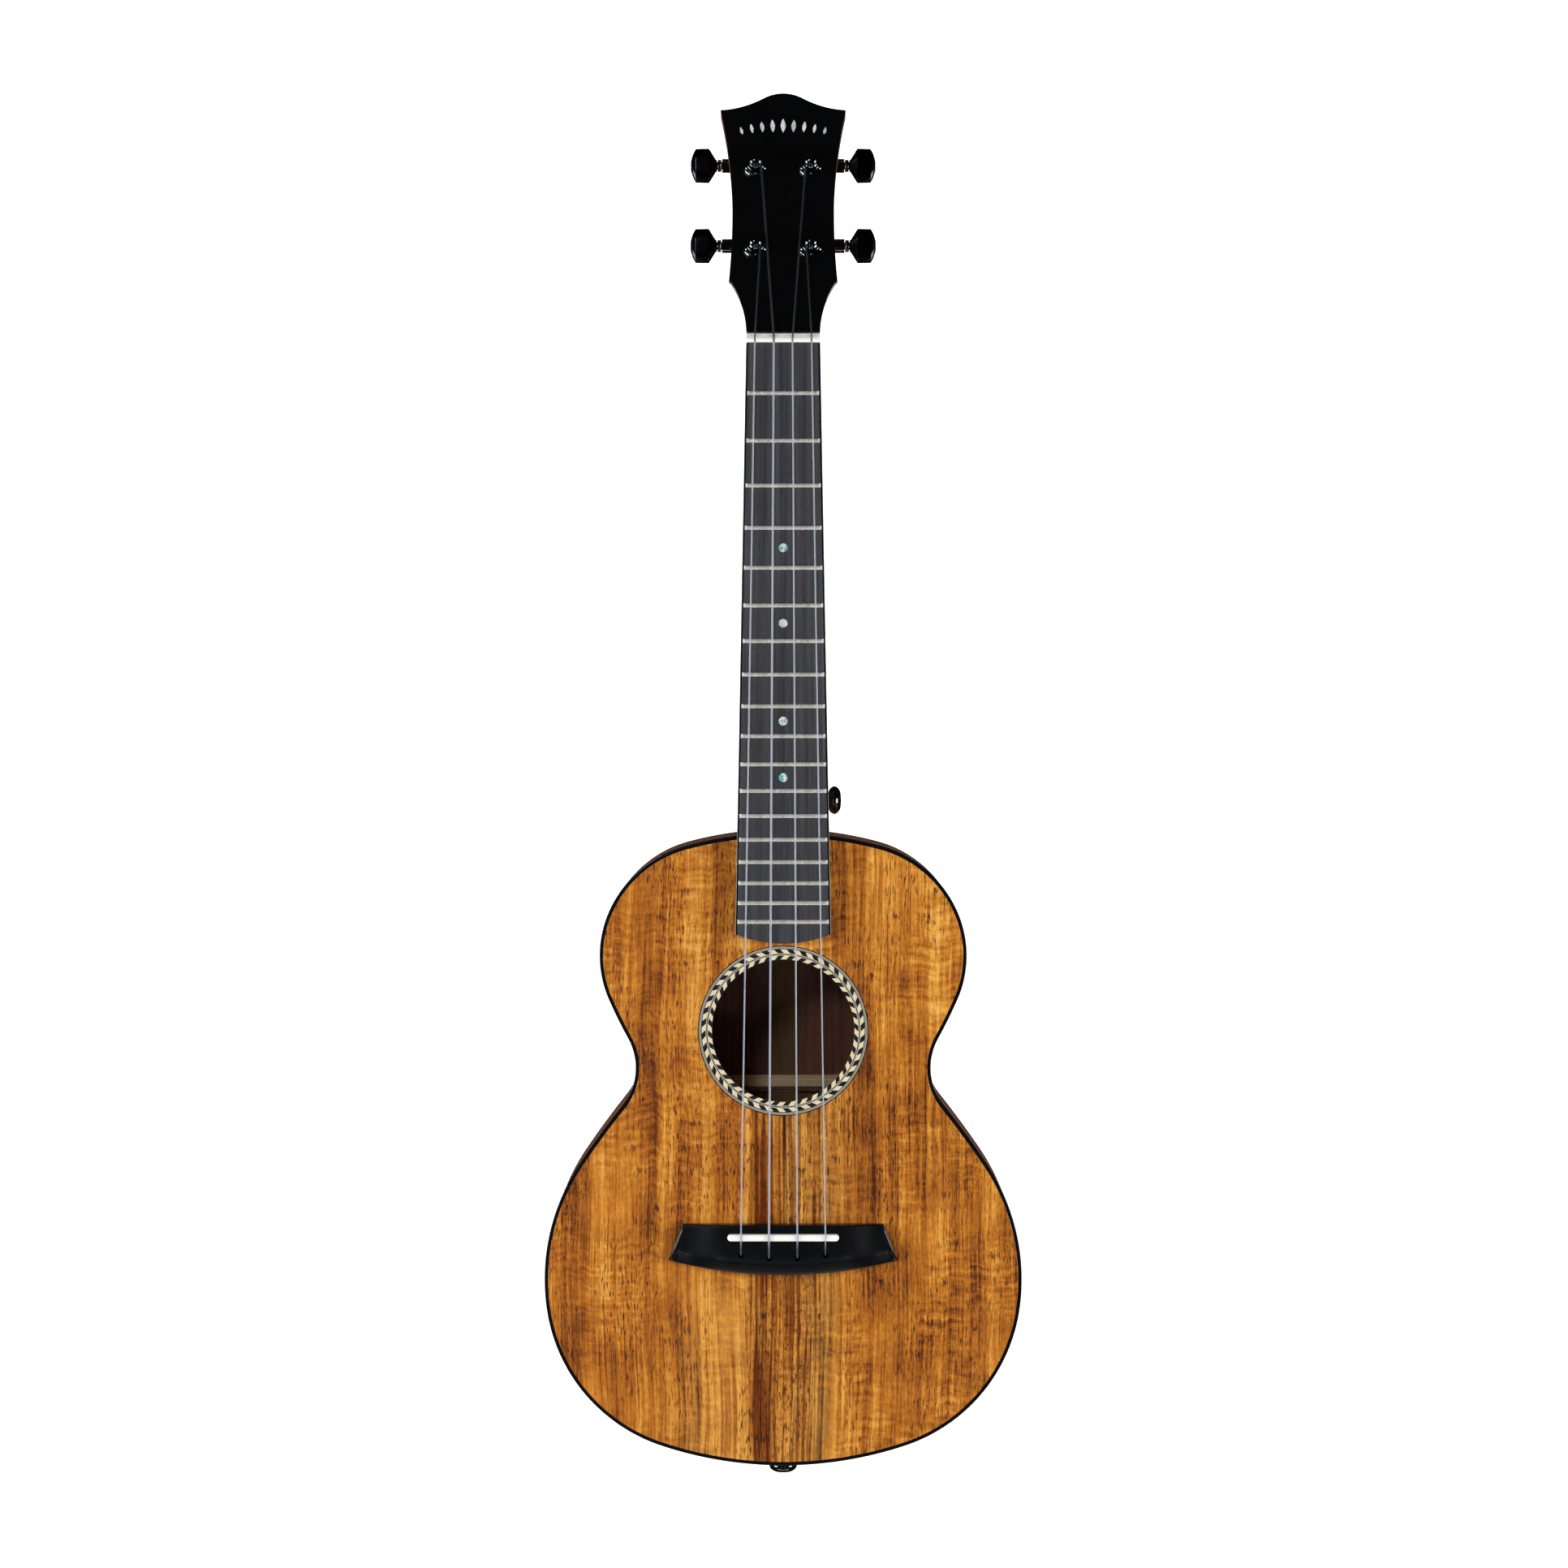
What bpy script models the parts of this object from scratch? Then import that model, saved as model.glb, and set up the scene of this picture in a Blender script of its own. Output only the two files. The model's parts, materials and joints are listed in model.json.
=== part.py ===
"""Tenor ukulele, modelled as the separate pieces that it is built from.

The instrument lies on its flat back. +Z comes out of the soundboard, +Y runs from the tail to the
head, and +X is the treble side. The origin is under the middle of the whole instrument, at the back.
Sizes are in millimetres, and each mesh is made in metres. Pieces that touch on the real instrument
keep a clearance of GAP.
"""

import math

import bmesh
import bpy
from mathutils import Vector

MM = 0.001
GAP = 0.3
ARC_STEP = 8.0  # degrees between the points of an arc

# Scale and neck
SCALE_LENGTH = 430.0
NUT_Y = 213.6
SADDLE_Y = NUT_Y - SCALE_LENGTH
FRET_COUNT = 18
NUT_HALF_WIDTH = 17.8
BOARD_END_HALF_WIDTH = 23.1
BOARD_END_Y = -70.7
BOARD_END_ARC_RADIUS = 65.6
BOARD_THICKNESS = 5.0
SHAFT_DEPTH_AT_NUT = 14.0
SHAFT_DEPTH_AT_HEEL = 16.0
HEEL_START_Y = 30.0
HEEL_DEPTH = 66.0
HEEL_CAP_Z = 4.0
NECK_END_Y = 218.0

# Body
BODY_DEPTH = 70.0
CROWN_ABOVE_SADDLE = 194.5
BODY_ARCS = (  # radius and sweep in degrees; a negative radius turns the other way
    (182.0, 15.0),  # crown, behind the heel
    (56.3, 54.6),  # shoulder
    (52.1, 43.9),  # upper bout
    (225.0, 5.4),  # into the waist
    (-29.5, 67.5),  # waist
    (438.0, 4.5),  # out of the waist
    (100.1, 43.5),  # lower bout
    (81.9, 62.1),  # hip
)
SOUNDBOARD_THICKNESS = 2.3
BACK_THICKNESS = 2.4
SIDE_THICKNESS = 2.5
BINDING_WIDTH = 1.2
BINDING_HEIGHT = 5.0
SOUNDHOLE_Y = -117.2
SOUNDHOLE_RADIUS = 34.4
ROSETTE_RADIUS = 41.1
ROSETTE_DEPTH = 1.2

# Joint between neck and body
TENON_HALF_WIDTH = 7.5
TENON_LENGTH = 16.0
TENON_LOW_Z = 18.0
TENON_HIGH_Z = 62.0
NECK_BLOCK_HALF_WIDTH = 30.0
NECK_BLOCK_LENGTH = 24.0
TAIL_BLOCK_HALF_WIDTH = 28.0
TAIL_BLOCK_LENGTH = 16.0

# Braces
BRACE_HEIGHT = 8.0
BRACE_WIDTH = 7.0
FAN_HEIGHT = 6.0
FAN_WIDTH = 5.0
UPPER_BRACE_Y = -66.0
LOWER_BRACE_Y = -161.0
FAN_END_Y = -300.0
BRIDGE_PLATE_THICKNESS = 2.2
BACK_BRACES = ((-70.0, 66.0), (-148.0, 62.0), (-235.0, 98.0))  # place along the body, half length
BACK_STRIP_HALF_WIDTH = 6.9
BACK_STRIP_THICKNESS = 1.8

# Bridge, saddle and nut
BRIDGE_TOP_EDGE_Y = -209.5
BRIDGE_CORNER_Y = -227.0
BRIDGE_LOW_EDGE_Y = -234.0
BRIDGE_TOP_HALF_WIDTH = 47.7
BRIDGE_HALF_WIDTH = 54.7
BRIDGE_HEIGHT = 7.7
BRIDGE_WING_HEIGHT = 4.0
BRIDGE_SHOULDER = 28.0  # half width of the full-height middle
BRIDGE_RAMP = 6.0  # width of the slope along the tail edge
SADDLE_LENGTH = 53.0
SADDLE_WIDTH = 3.5
SADDLE_TOP_Z = 81.5
SADDLE_SLOT_DEPTH = 5.5
NUT_THICKNESS = 4.3
NUT_TOP_Z = 77.6
NUT_SLOT_FLOOR_Z = 75.9

# Frets
FRET_WIDTH = 2.0
FRET_HEIGHT = 1.0
FRET_END_MARGIN = 1.0
FRET_BEVEL = 1.3
TANG_WIDTH = 0.5
TANG_DEPTH = 1.5
SLOT_END_MARGIN = 2.4

# Strings, from the bass side to the treble side
STRING_NUMBERS = (4, 3, 2, 1)
STRING_DIAMETERS = (0.75, 1.0, 0.8, 0.7)
NUT_STRING_X = (-13.6, -4.5, 4.5, 13.6)
SADDLE_STRING_X = (-20.3, -6.8, 6.8, 20.3)
STRING_NUT_Z = 77.1
STRING_SADDLE_Z = 82.3
STRING_END_Z = 61.0
STRING_HOLE_RADIUS = 1.2
OUTER_HOLE_Y = -225.0
INNER_HOLE_Y = -226.4
HOLE_BEND_RADIUS = 1.6

# Head
HEAD_TILT = 13.5  # degrees
HEAD_ORIGIN_Y = 218.5
HEAD_ORIGIN_Z = 72.0
HEAD_LENGTH = 121.9
HEAD_NECK_HALF_WIDTH = 17.8
HEAD_EAR_HALF_WIDTH = 26.2
HEAD_EAR_V = 27.6  # distance from the nut along the head
HEAD_WAIST_HALF_WIDTH = 24.6
HEAD_WAIST_V = 60.0
HEAD_CORNER_HALF_WIDTH = 30.4
HEAD_CORNER_V = 113.3
HEAD_CREST_RADIUS = 26.0
HEAD_CREST_SWEEP = 24.0
VENEER_THICKNESS = 2.0
HEAD_THICKNESS = 14.0
VENEER_START_V = 0.6

# Tuning machines, in the head's own frame: x across, y along, z out of the face
TUNERS = (  # string number, side, place along the head
    (4, -1, 43.9),
    (3, -1, 85.05),
    (2, 1, 85.05),
    (1, 1, 43.9),
)
POST_X = 13.35
POST_RADIUS = 3.2
POST_WAIST_RADIUS = 2.0
POST_TOP = 9.6
POST_WAIST_Z = 6.0
WORM_OFFSET = 6.8
WORM_DEPTH = 20.0
WHEEL_TEETH = 14
TOOTH_PITCH = 2.0
WHEEL_ROOT_RADIUS = 3.7
WHEEL_TIP_RADIUS = 4.9
WHEEL_HALF_THICKNESS = 1.5
WORM_ROOT_RADIUS = 1.5
WORM_TIP_RADIUS = 2.6
WORM_PITCH_RADIUS = 2.3
WORM_TURNS = 3
WORM_STEPS_PER_TURN = 6
WORM_SIDES = 12
SHAFT_RADIUS = 1.8
HOUSING_TOP = -14.3
HOUSING_BOTTOM = -25.7
HOUSING_WALL = 1.3
HOUSING_INNER_X = 7.35  # from the post's axis towards the middle of the head
HOUSING_OUTER_X = 6.95  # from the post's axis towards the knob
HOUSING_LOW_Y = 6.6
HOUSING_HIGH_Y = 11.2
HOUSING_CORNER_RADIUS = 3.0
BOSS_END_X = 29.8
BOSS_BASE_RADIUS = 3.9
BOSS_END_RADIUS = 3.4
COLLAR_RADIUS = 2.95
COLLAR_END_X = 32.0
KNOB_NECK_X = 32.3
KNOB_END_X = 45.1
KNOB_HALF_HEIGHT = 8.35
KNOB_HALF_THICKNESS = 2.9
BUSHING_BORE_RADIUS = 3.5
BUSHING_TUBE_RADIUS = 4.7
BUSHING_HOLE_RADIUS = 5.0
WASHER_RADIUS = 6.7
HEX_APOTHEM = 5.05

# Strap buttons
BUTTON_HEIGHT = 8.8
BUTTON_RADIUS = 6.85
BUTTON_WAIST_RADIUS = 3.6
BUTTON_BASE_RADIUS = 5.0
SHANK_RADIUS = 2.0
SHANK_LENGTH = 13.0
TAIL_BUTTON_Z = 35.0
HEEL_BUTTON_Y = -6.5
HEEL_BUTTON_Z = 48.0
HEEL_BUTTON_X = 19.5

# Finishes: base colour, roughness and metallic value
FINISHES = {
    "koa": ((0.45, 0.19, 0.05), 0.3, 0.0),
    "side_wood": ((0.22, 0.08, 0.035), 0.3, 0.0),
    "neck_wood": ((0.26, 0.10, 0.05), 0.35, 0.0),
    "brace_wood": ((0.62, 0.42, 0.22), 0.7, 0.0),
    "block_wood": ((0.45, 0.26, 0.13), 0.7, 0.0),
    "black_binding": ((0.012, 0.012, 0.014), 0.25, 0.0),
    "rosette_inlay": ((0.55, 0.50, 0.38), 0.35, 0.0),
    "ebony": ((0.03, 0.03, 0.034), 0.5, 0.0),
    "black_gloss": ((0.008, 0.008, 0.01), 0.12, 0.0),
    "bridge_wood": ((0.012, 0.012, 0.014), 0.4, 0.0),
    "bone": ((0.86, 0.84, 0.78), 0.35, 0.0),
    "nickel": ((0.78, 0.77, 0.74), 0.22, 1.0),
    "nylon": ((0.72, 0.80, 0.86), 0.25, 0.0),
    "black_chrome": ((0.06, 0.06, 0.065), 0.2, 0.9),
    "steel": ((0.45, 0.45, 0.46), 0.35, 1.0),
    "black_plastic": ((0.01, 0.01, 0.011), 0.15, 0.0),
}


def clear_scene():
    """Remove every object from the scene."""
    for item in list(bpy.data.objects):
        bpy.data.objects.remove(item, do_unlink=True)


def finish(name):
    """Return the material of that name, made on first use."""
    material = bpy.data.materials.get(name)
    if material is None:
        colour, roughness, metallic = FINISHES[name]
        material = bpy.data.materials.new(name)
        material.use_nodes = True
        shader = material.node_tree.nodes["Principled BSDF"]
        shader.inputs["Base Color"].default_value = (*colour, 1.0)
        shader.inputs["Roughness"].default_value = roughness
        shader.inputs["Metallic"].default_value = metallic
    return material


def add_empty(name, location, rotation=(0.0, 0.0, 0.0), parent=None):
    """Add an empty, which carries a frame for the pieces under it."""
    empty = bpy.data.objects.new(name, None)
    bpy.context.collection.objects.link(empty)
    empty.location = Vector(location) * MM
    empty.rotation_euler = [math.radians(angle) for angle in rotation]
    empty.parent = parent
    return empty


def add_solid(name, bm, material=None, location=(0.0, 0.0, 0.0), rotation=(0.0, 0.0, 0.0), parent=None,
              smooth_angle=35.0):
    """Turn a bmesh in millimetres into a placed object in metres, with its faces pointing out."""
    bmesh.ops.recalc_face_normals(bm, faces=bm.faces)
    bmesh.ops.scale(bm, vec=(MM, MM, MM), verts=bm.verts)
    mesh = bpy.data.meshes.new(name)
    bm.to_mesh(mesh)
    bm.free()
    mesh.shade_smooth()
    mesh.set_sharp_from_angle(angle=math.radians(smooth_angle))
    solid = bpy.data.objects.new(name, mesh)
    bpy.context.collection.objects.link(solid)
    solid.location = Vector(location) * MM
    solid.rotation_euler = [math.radians(angle) for angle in rotation]
    solid.parent = parent
    if material:
        mesh.materials.append(finish(material))
    return solid


def combine(target, tool, operation="DIFFERENCE"):
    """Cut a helper solid out of a piece, or join it on, and hide the helper."""
    modifier = target.modifiers.new(tool.name, "BOOLEAN")
    modifier.operation = operation
    modifier.solver = "EXACT"
    modifier.object = tool
    tool.hide_render = True
    tool.display_type = "WIRE"


# Flat shapes


def arc_chain(arcs, start, heading, step=ARC_STEP):
    """Follow tangent arcs clockwise; return points (x, y) with their left-hand normals."""
    x, y = start
    angle = math.radians(heading)
    points = [(x, y, -math.sin(angle), math.cos(angle))]
    for radius, sweep in arcs:
        turn = math.copysign(math.radians(sweep), radius)
        size = abs(radius)
        side = math.copysign(1.0, radius)
        centre_x = x + side * size * math.sin(angle)
        centre_y = y - side * size * math.cos(angle)
        count = max(1, math.ceil(sweep / step))
        for index in range(1, count + 1):
            here = angle - turn * index / count
            x = centre_x - side * size * math.sin(here)
            y = centre_y + side * size * math.cos(here)
            points.append((x, y, -math.sin(here), math.cos(here)))
        angle -= turn
    return points


def body_half():
    """The treble half of the body's outline, from the crown to the tail, closed by a tail arc."""
    start = (0.0, SADDLE_Y + CROWN_ABOVE_SADDLE)
    reach = arc_chain(BODY_ARCS, start, 0.0)[-1]
    sweep = 180.0 - sum(math.copysign(angle, radius) for radius, angle in BODY_ARCS)
    tail_radius = reach[0] / math.sin(math.radians(sweep))
    return arc_chain(BODY_ARCS + ((tail_radius, sweep),), start, 0.0)


def inset_half(inset):
    """The treble half of the outline moved inwards by a distance."""
    return [(x - nx * inset, y - ny * inset) for x, y, nx, ny in body_half()]


def body_loop(inset=0.0):
    """The whole outline, moved inwards by a distance, as one loop of points."""
    half = inset_half(inset)
    mirrored = [(-x, y) for x, y in reversed(half[1:-1])]
    return half + mirrored


def arc_through(half_width, rise, count=9):
    """Points of a shallow arc from (half_width, 0) to (-half_width, 0), bulging by rise along y."""
    radius = (half_width**2 + rise**2) / (2 * abs(rise))
    reach = math.asin(half_width / radius)
    points = []
    for index in range(count):
        angle = reach - 2 * reach * index / (count - 1)
        drop = radius * (1 - math.cos(angle))
        points.append((radius * math.sin(angle), math.copysign(abs(rise) - drop, rise)))
    return points


def prism(loop, low, high):
    """A plate: a flat loop, extruded from one height to another."""
    bm = bmesh.new()
    face = bm.faces.new([bm.verts.new((x, y, low)) for x, y in loop])
    raised = bmesh.ops.extrude_face_region(bm, geom=[face])["geom"]
    verts = [item for item in raised if isinstance(item, bmesh.types.BMVert)]
    bmesh.ops.translate(bm, verts=verts, vec=(0, 0, high - low))
    return bm


def box(low, high):
    """A rectangular block between two corners."""
    loop = [(low[0], low[1]), (high[0], low[1]), (high[0], high[1]), (low[0], high[1])]
    return prism(loop, low[2], high[2])


def join(*parts):
    """Put separate closed shapes in one bmesh, for a cutter."""
    whole = bmesh.new()
    for part in parts:
        mesh = bpy.data.meshes.new("shape")
        part.to_mesh(mesh)
        part.free()
        whole.from_mesh(mesh)
        bpy.data.meshes.remove(mesh)
    return whole


# Turned and lofted shapes


def circle(radius, height, count=16, centre=(0.0, 0.0), start=0.0):
    """A ring of points at a height."""
    ring = []
    for index in range(count):
        angle = math.radians(start) + 2 * math.pi * index / count
        ring.append((centre[0] + radius * math.cos(angle), centre[1] + radius * math.sin(angle), height))
    return ring


def loft(rings, closed=False):
    """Join rings in order. A ring may have a whole multiple of its neighbour's number of points.

    An open loft is capped at both ends; a closed one joins its last ring to its first.
    """
    bm = bmesh.new()
    loops = [[bm.verts.new(point) for point in ring] for ring in rings]
    pairs = list(zip(loops, loops[1:]))
    if closed:
        pairs.append((loops[-1], loops[0]))
    else:
        bm.faces.new(loops[0])
        bm.faces.new(loops[-1])
    for first, second in pairs:
        few, many = sorted((first, second), key=len)
        share = len(many) // len(few)
        for index in range(len(few)):
            start = index * share
            edge = [many[(start + step) % len(many)] for step in range(share + 1)]
            bm.faces.new([few[(index + 1) % len(few)], few[index]] + edge)
    return bm


def turned(profile, count=16):
    """A solid turned about Z from (radius, height) pairs."""
    return loft([circle(radius, height, count) for radius, height in profile])


def superellipse(half_x, half_y, height, power, count=16):
    """A ring between an ellipse (power 2) and a rectangle (a high power)."""
    ring = []
    for index in range(count):
        angle = 2 * math.pi * index / count
        across = math.copysign(abs(math.cos(angle)) ** (2 / power), math.cos(angle))
        along = math.copysign(abs(math.sin(angle)) ** (2 / power), math.sin(angle))
        ring.append((half_x * across, half_y * along, height))
    return ring


def rounded_rectangle(low, high, radius, corner_steps=3):
    """A loop round a rectangle with round corners."""
    centres = (
        (high[0] - radius, high[1] - radius),
        (low[0] + radius, high[1] - radius),
        (low[0] + radius, low[1] + radius),
        (high[0] - radius, low[1] + radius),
    )
    loop = []
    for corner, (x, y) in enumerate(centres):
        for step in range(corner_steps + 1):
            angle = math.pi / 2 * (corner + step / corner_steps)
            loop.append((x + radius * math.cos(angle), y + radius * math.sin(angle)))
    return loop


# Body


def cylinder_cutter(name, radius, low, high, centre, count=16, parent=None):
    """A round helper along Z."""
    rings = [circle(radius, low, count, centre), circle(radius, high, count, centre)]
    return add_solid(name, loft(rings), parent=parent)


def string_hole_places():
    """Where the strings go down through the bridge, as (x, y)."""
    rows = (OUTER_HOLE_Y, INNER_HOLE_Y, INNER_HOLE_Y, OUTER_HOLE_Y)
    return list(zip(SADDLE_STRING_X, rows))


def string_hole_cutter():
    """Four narrow cylinders through the bridge, the soundboard and the bridge plate."""
    holes = []
    for place in string_hole_places():
        rings = [circle(STRING_HOLE_RADIUS, z, 10, place) for z in (50.0, 90.0)]
        holes.append(loft(rings))
    return add_solid("string_hole_cutter", join(*holes))


def make_plates(string_holes):
    """The soundboard with its soundhole and rosette recess, and the back."""
    low = BODY_DEPTH - SOUNDBOARD_THICKNESS
    soundboard = add_solid("soundboard", prism(body_loop(BINDING_WIDTH + GAP), low, BODY_DEPTH), "koa")
    centre = (0.0, SOUNDHOLE_Y)
    hole = cylinder_cutter("soundhole_cutter", SOUNDHOLE_RADIUS, low - 5, BODY_DEPTH + 5, centre, 48)
    floor = BODY_DEPTH - ROSETTE_DEPTH - GAP
    recess = cylinder_cutter("rosette_cutter", ROSETTE_RADIUS + GAP, floor, BODY_DEPTH + 5, centre, 48)
    for tool in (hole, recess, string_holes):
        combine(soundboard, tool)
    add_solid("back_plate", prism(body_loop(BINDING_WIDTH + GAP), 0.0, BACK_THICKNESS), "side_wood")

    top = BODY_DEPTH
    base = BODY_DEPTH - ROSETTE_DEPTH
    rings = [
        circle(SOUNDHOLE_RADIUS, base, 48, centre),
        circle(SOUNDHOLE_RADIUS, top, 48, centre),
        circle(ROSETTE_RADIUS, top, 48, centre),
        circle(ROSETTE_RADIUS, base, 48, centre),
    ]
    add_solid("rosette", loft(rings, closed=True), "rosette_inlay")


def make_binding():
    """The strip let into the edge of the soundboard."""
    low = BODY_DEPTH - BINDING_HEIGHT
    rings = []
    for inset, height in ((0.0, low), (0.0, BODY_DEPTH), (BINDING_WIDTH, BODY_DEPTH), (BINDING_WIDTH, low)):
        rings.append([(x, y, height) for x, y in body_loop(inset)])
    add_solid("top_binding", loft(rings, closed=True), "black_binding")


def make_sides(mortise, button_hole):
    """Two bent sides, each from the neck block to the tail, stepped for the bindings."""
    ledge = BINDING_HEIGHT + GAP
    low = BACK_THICKNESS + GAP
    high = BODY_DEPTH - SOUNDBOARD_THICKNESS - GAP
    step = BINDING_WIDTH + GAP
    profile = (
        (step, low),
        (step, ledge),
        (0.0, ledge),
        (0.0, BODY_DEPTH - ledge),
        (step, BODY_DEPTH - ledge),
        (step, high),
        (SIDE_THICKNESS, high),
        (SIDE_THICKNESS, low),
    )
    for name, side in (("side_bass", -1), ("side_treble", 1)):
        halves = [inset_half(inset) for inset, _ in profile]
        rings = []
        for index in range(len(halves[0])):
            ring = []
            for half, (_, height) in zip(halves, profile):
                x = max(half[index][0], GAP / 2)
                ring.append((side * x, half[index][1], height))
            rings.append(ring)
        piece = add_solid(name, loft(rings), "side_wood")
        combine(piece, mortise)
        combine(piece, button_hole)


def make_blocks(mortise, button_hole):
    """The neck block and the tail block, shaped to the inside of the body."""
    low = BACK_THICKNESS + GAP
    high = BODY_DEPTH - SOUNDBOARD_THICKNESS - GAP
    half = body_half()
    inside = prism(body_loop(SIDE_THICKNESS + GAP), low - 5, high + 5)
    shaper = add_solid("block_shaper", inside)
    crown = half[0][1]
    tail = half[-1][1]
    neck_block = box(
        (-NECK_BLOCK_HALF_WIDTH, crown - NECK_BLOCK_LENGTH, low),
        (NECK_BLOCK_HALF_WIDTH, crown + 5, high),
    )
    tail_block = box(
        (-TAIL_BLOCK_HALF_WIDTH, tail - 5, low),
        (TAIL_BLOCK_HALF_WIDTH, tail + TAIL_BLOCK_LENGTH, high),
    )
    for name, shape, hole in (("neck_block", neck_block, mortise), ("tail_block", tail_block, button_hole)):
        block = add_solid(name, shape, "block_wood")
        combine(block, shaper, "INTERSECT")
        combine(block, hole)


def bar(name, start, end, width, low, high):
    """A straight strut between two points, as a helper to join on."""
    along = Vector((end[0] - start[0], end[1] - start[1]))
    across = Vector((-along.y, along.x)).normalized() * (width / 2)
    loop = [
        (start[0] + across.x, start[1] + across.y),
        (start[0] - across.x, start[1] - across.y),
        (end[0] - across.x, end[1] - across.y),
        (end[0] + across.x, end[1] + across.y),
    ]
    return add_solid(name, prism(loop, low, high), "brace_wood")


def make_top_bracing(string_holes):
    """Bars round the soundhole, three fan struts and the bridge plate, glued into one frame."""
    high = BODY_DEPTH - SOUNDBOARD_THICKNESS - GAP
    low = high - BRACE_HEIGHT
    fan_low = high - FAN_HEIGHT
    frame = bar("top_bracing", (-74, LOWER_BRACE_Y), (74, LOWER_BRACE_Y), BRACE_WIDTH, low, high)
    struts = [bar("upper_brace", (-72, UPPER_BRACE_Y), (72, UPPER_BRACE_Y), BRACE_WIDTH, low, high)]
    for side in (-1, 1):
        hole_side = side * (ROSETTE_RADIUS + 6)
        struts.append(bar("hole_brace", (hole_side, UPPER_BRACE_Y), (hole_side, LOWER_BRACE_Y),
                          FAN_WIDTH, fan_low, high))
    for start_x, end_x in ((0, 0), (-18, -48), (18, 48)):
        fan_ends = ((start_x, LOWER_BRACE_Y), (end_x, FAN_END_Y))
        struts.append(bar("fan_brace", *fan_ends, FAN_WIDTH, fan_low, high))
    plate_y = (BRIDGE_TOP_EDGE_Y + BRIDGE_LOW_EDGE_Y) / 2
    struts.append(bar("bridge_plate", (-60, plate_y), (60, plate_y), 32.0,
                      high - BRIDGE_PLATE_THICKNESS, high))
    for strut in struts:
        combine(frame, strut, "UNION")
    combine(frame, string_holes)


def make_back_bracing():
    """Three bars across the back, joined to the strip over its centre seam."""
    low = BACK_THICKNESS + GAP
    half = body_half()
    ends = ((0, half[0][1] - NECK_BLOCK_LENGTH - 2), (0, half[-1][1] + TAIL_BLOCK_LENGTH + 2))
    strip = bar("back_bracing", *ends, 2 * BACK_STRIP_HALF_WIDTH, low, low + BACK_STRIP_THICKNESS)
    for place, reach in BACK_BRACES:
        brace = bar("back_brace", (-reach, place), (reach, place), BRACE_WIDTH, low, low + BRACE_HEIGHT)
        combine(strip, brace, "UNION")


# Neck and head


def head_half():
    """The treble edge of the head from the nut to the tip, in the head's plane."""
    rise = HEAD_EAR_V
    spread = HEAD_EAR_HALF_WIDTH - HEAD_NECK_HALF_WIDTH
    flare_radius = (rise**2 + spread**2) / (2 * spread)
    points = []
    for index in range(6):
        v = rise * index / 5
        points.append((HEAD_NECK_HALF_WIDTH + flare_radius - math.sqrt(flare_radius**2 - v**2), v))
    for low, high, wide in ((HEAD_EAR_V, HEAD_WAIST_V, HEAD_EAR_HALF_WIDTH),
                            (HEAD_WAIST_V, HEAD_CORNER_V, HEAD_CORNER_HALF_WIDTH)):
        for index in range(1, 5):
            v = low + (high - low) * index / 4
            away = abs(v - HEAD_WAIST_V) / max(HEAD_WAIST_V - low, high - HEAD_WAIST_V)
            points.append((HEAD_WAIST_HALF_WIDTH + (wide - HEAD_WAIST_HALF_WIDTH) * away**2, v))
    crest_sweep = math.radians(HEAD_CREST_SWEEP)
    crest_end = (
        HEAD_CREST_RADIUS * math.sin(crest_sweep),
        HEAD_LENGTH - HEAD_CREST_RADIUS * (1 - math.cos(crest_sweep)),
    )
    for index in range(1, 4):
        share = index / 4
        x = HEAD_CORNER_HALF_WIDTH + (crest_end[0] - HEAD_CORNER_HALF_WIDTH) * share
        straight = HEAD_CORNER_V + (crest_end[1] - HEAD_CORNER_V) * share
        points.append((x, straight - 2.0 * share * (1 - share)))
    for index in range(4):
        angle = crest_sweep * (1 - index / 4)
        points.append((HEAD_CREST_RADIUS * math.sin(angle),
                       HEAD_LENGTH - HEAD_CREST_RADIUS * (1 - math.cos(angle))))
    points.append((0.0, HEAD_LENGTH))
    return points


def head_loop(start_v):
    """The whole head outline from a distance along it."""
    half = [(x, max(v, start_v)) for x, v in head_half()]
    return half + [(-x, v) for x, v in reversed(half[:-1])]


def board_half_width(y):
    """Half the fingerboard's width at a place along it."""
    share = (NUT_Y - y) / (NUT_Y - BOARD_END_Y)
    return NUT_HALF_WIDTH + (BOARD_END_HALF_WIDTH - NUT_HALF_WIDTH) * share


def neck_depth(y):
    """How deep the neck is below its flat top: a slim shaft that sweeps down into the heel."""
    if y >= HEEL_START_Y:
        share = (NECK_END_Y - y) / (NECK_END_Y - HEEL_START_Y)
        return SHAFT_DEPTH_AT_NUT + (SHAFT_DEPTH_AT_HEEL - SHAFT_DEPTH_AT_NUT) * share
    crown = SADDLE_Y + CROWN_ABOVE_SADDLE
    share = min(1.0, (HEEL_START_Y - y) / (HEEL_START_Y - crown))
    return SHAFT_DEPTH_AT_HEEL + (HEEL_DEPTH - SHAFT_DEPTH_AT_HEEL) * share**2.6


def neck_section(y, count=12):
    """A D-shaped section: flat on top, round below, cut off level at the heel cap."""
    width = board_half_width(y)
    depth = neck_depth(y)
    ring = []
    for index in range(count + 1):
        angle = math.pi * index / count
        x = width * math.cos(angle)
        z = BODY_DEPTH - depth * math.sin(angle) ** 0.85
        ring.append((x, y, max(z, HEEL_CAP_Z)))
    return ring


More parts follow.
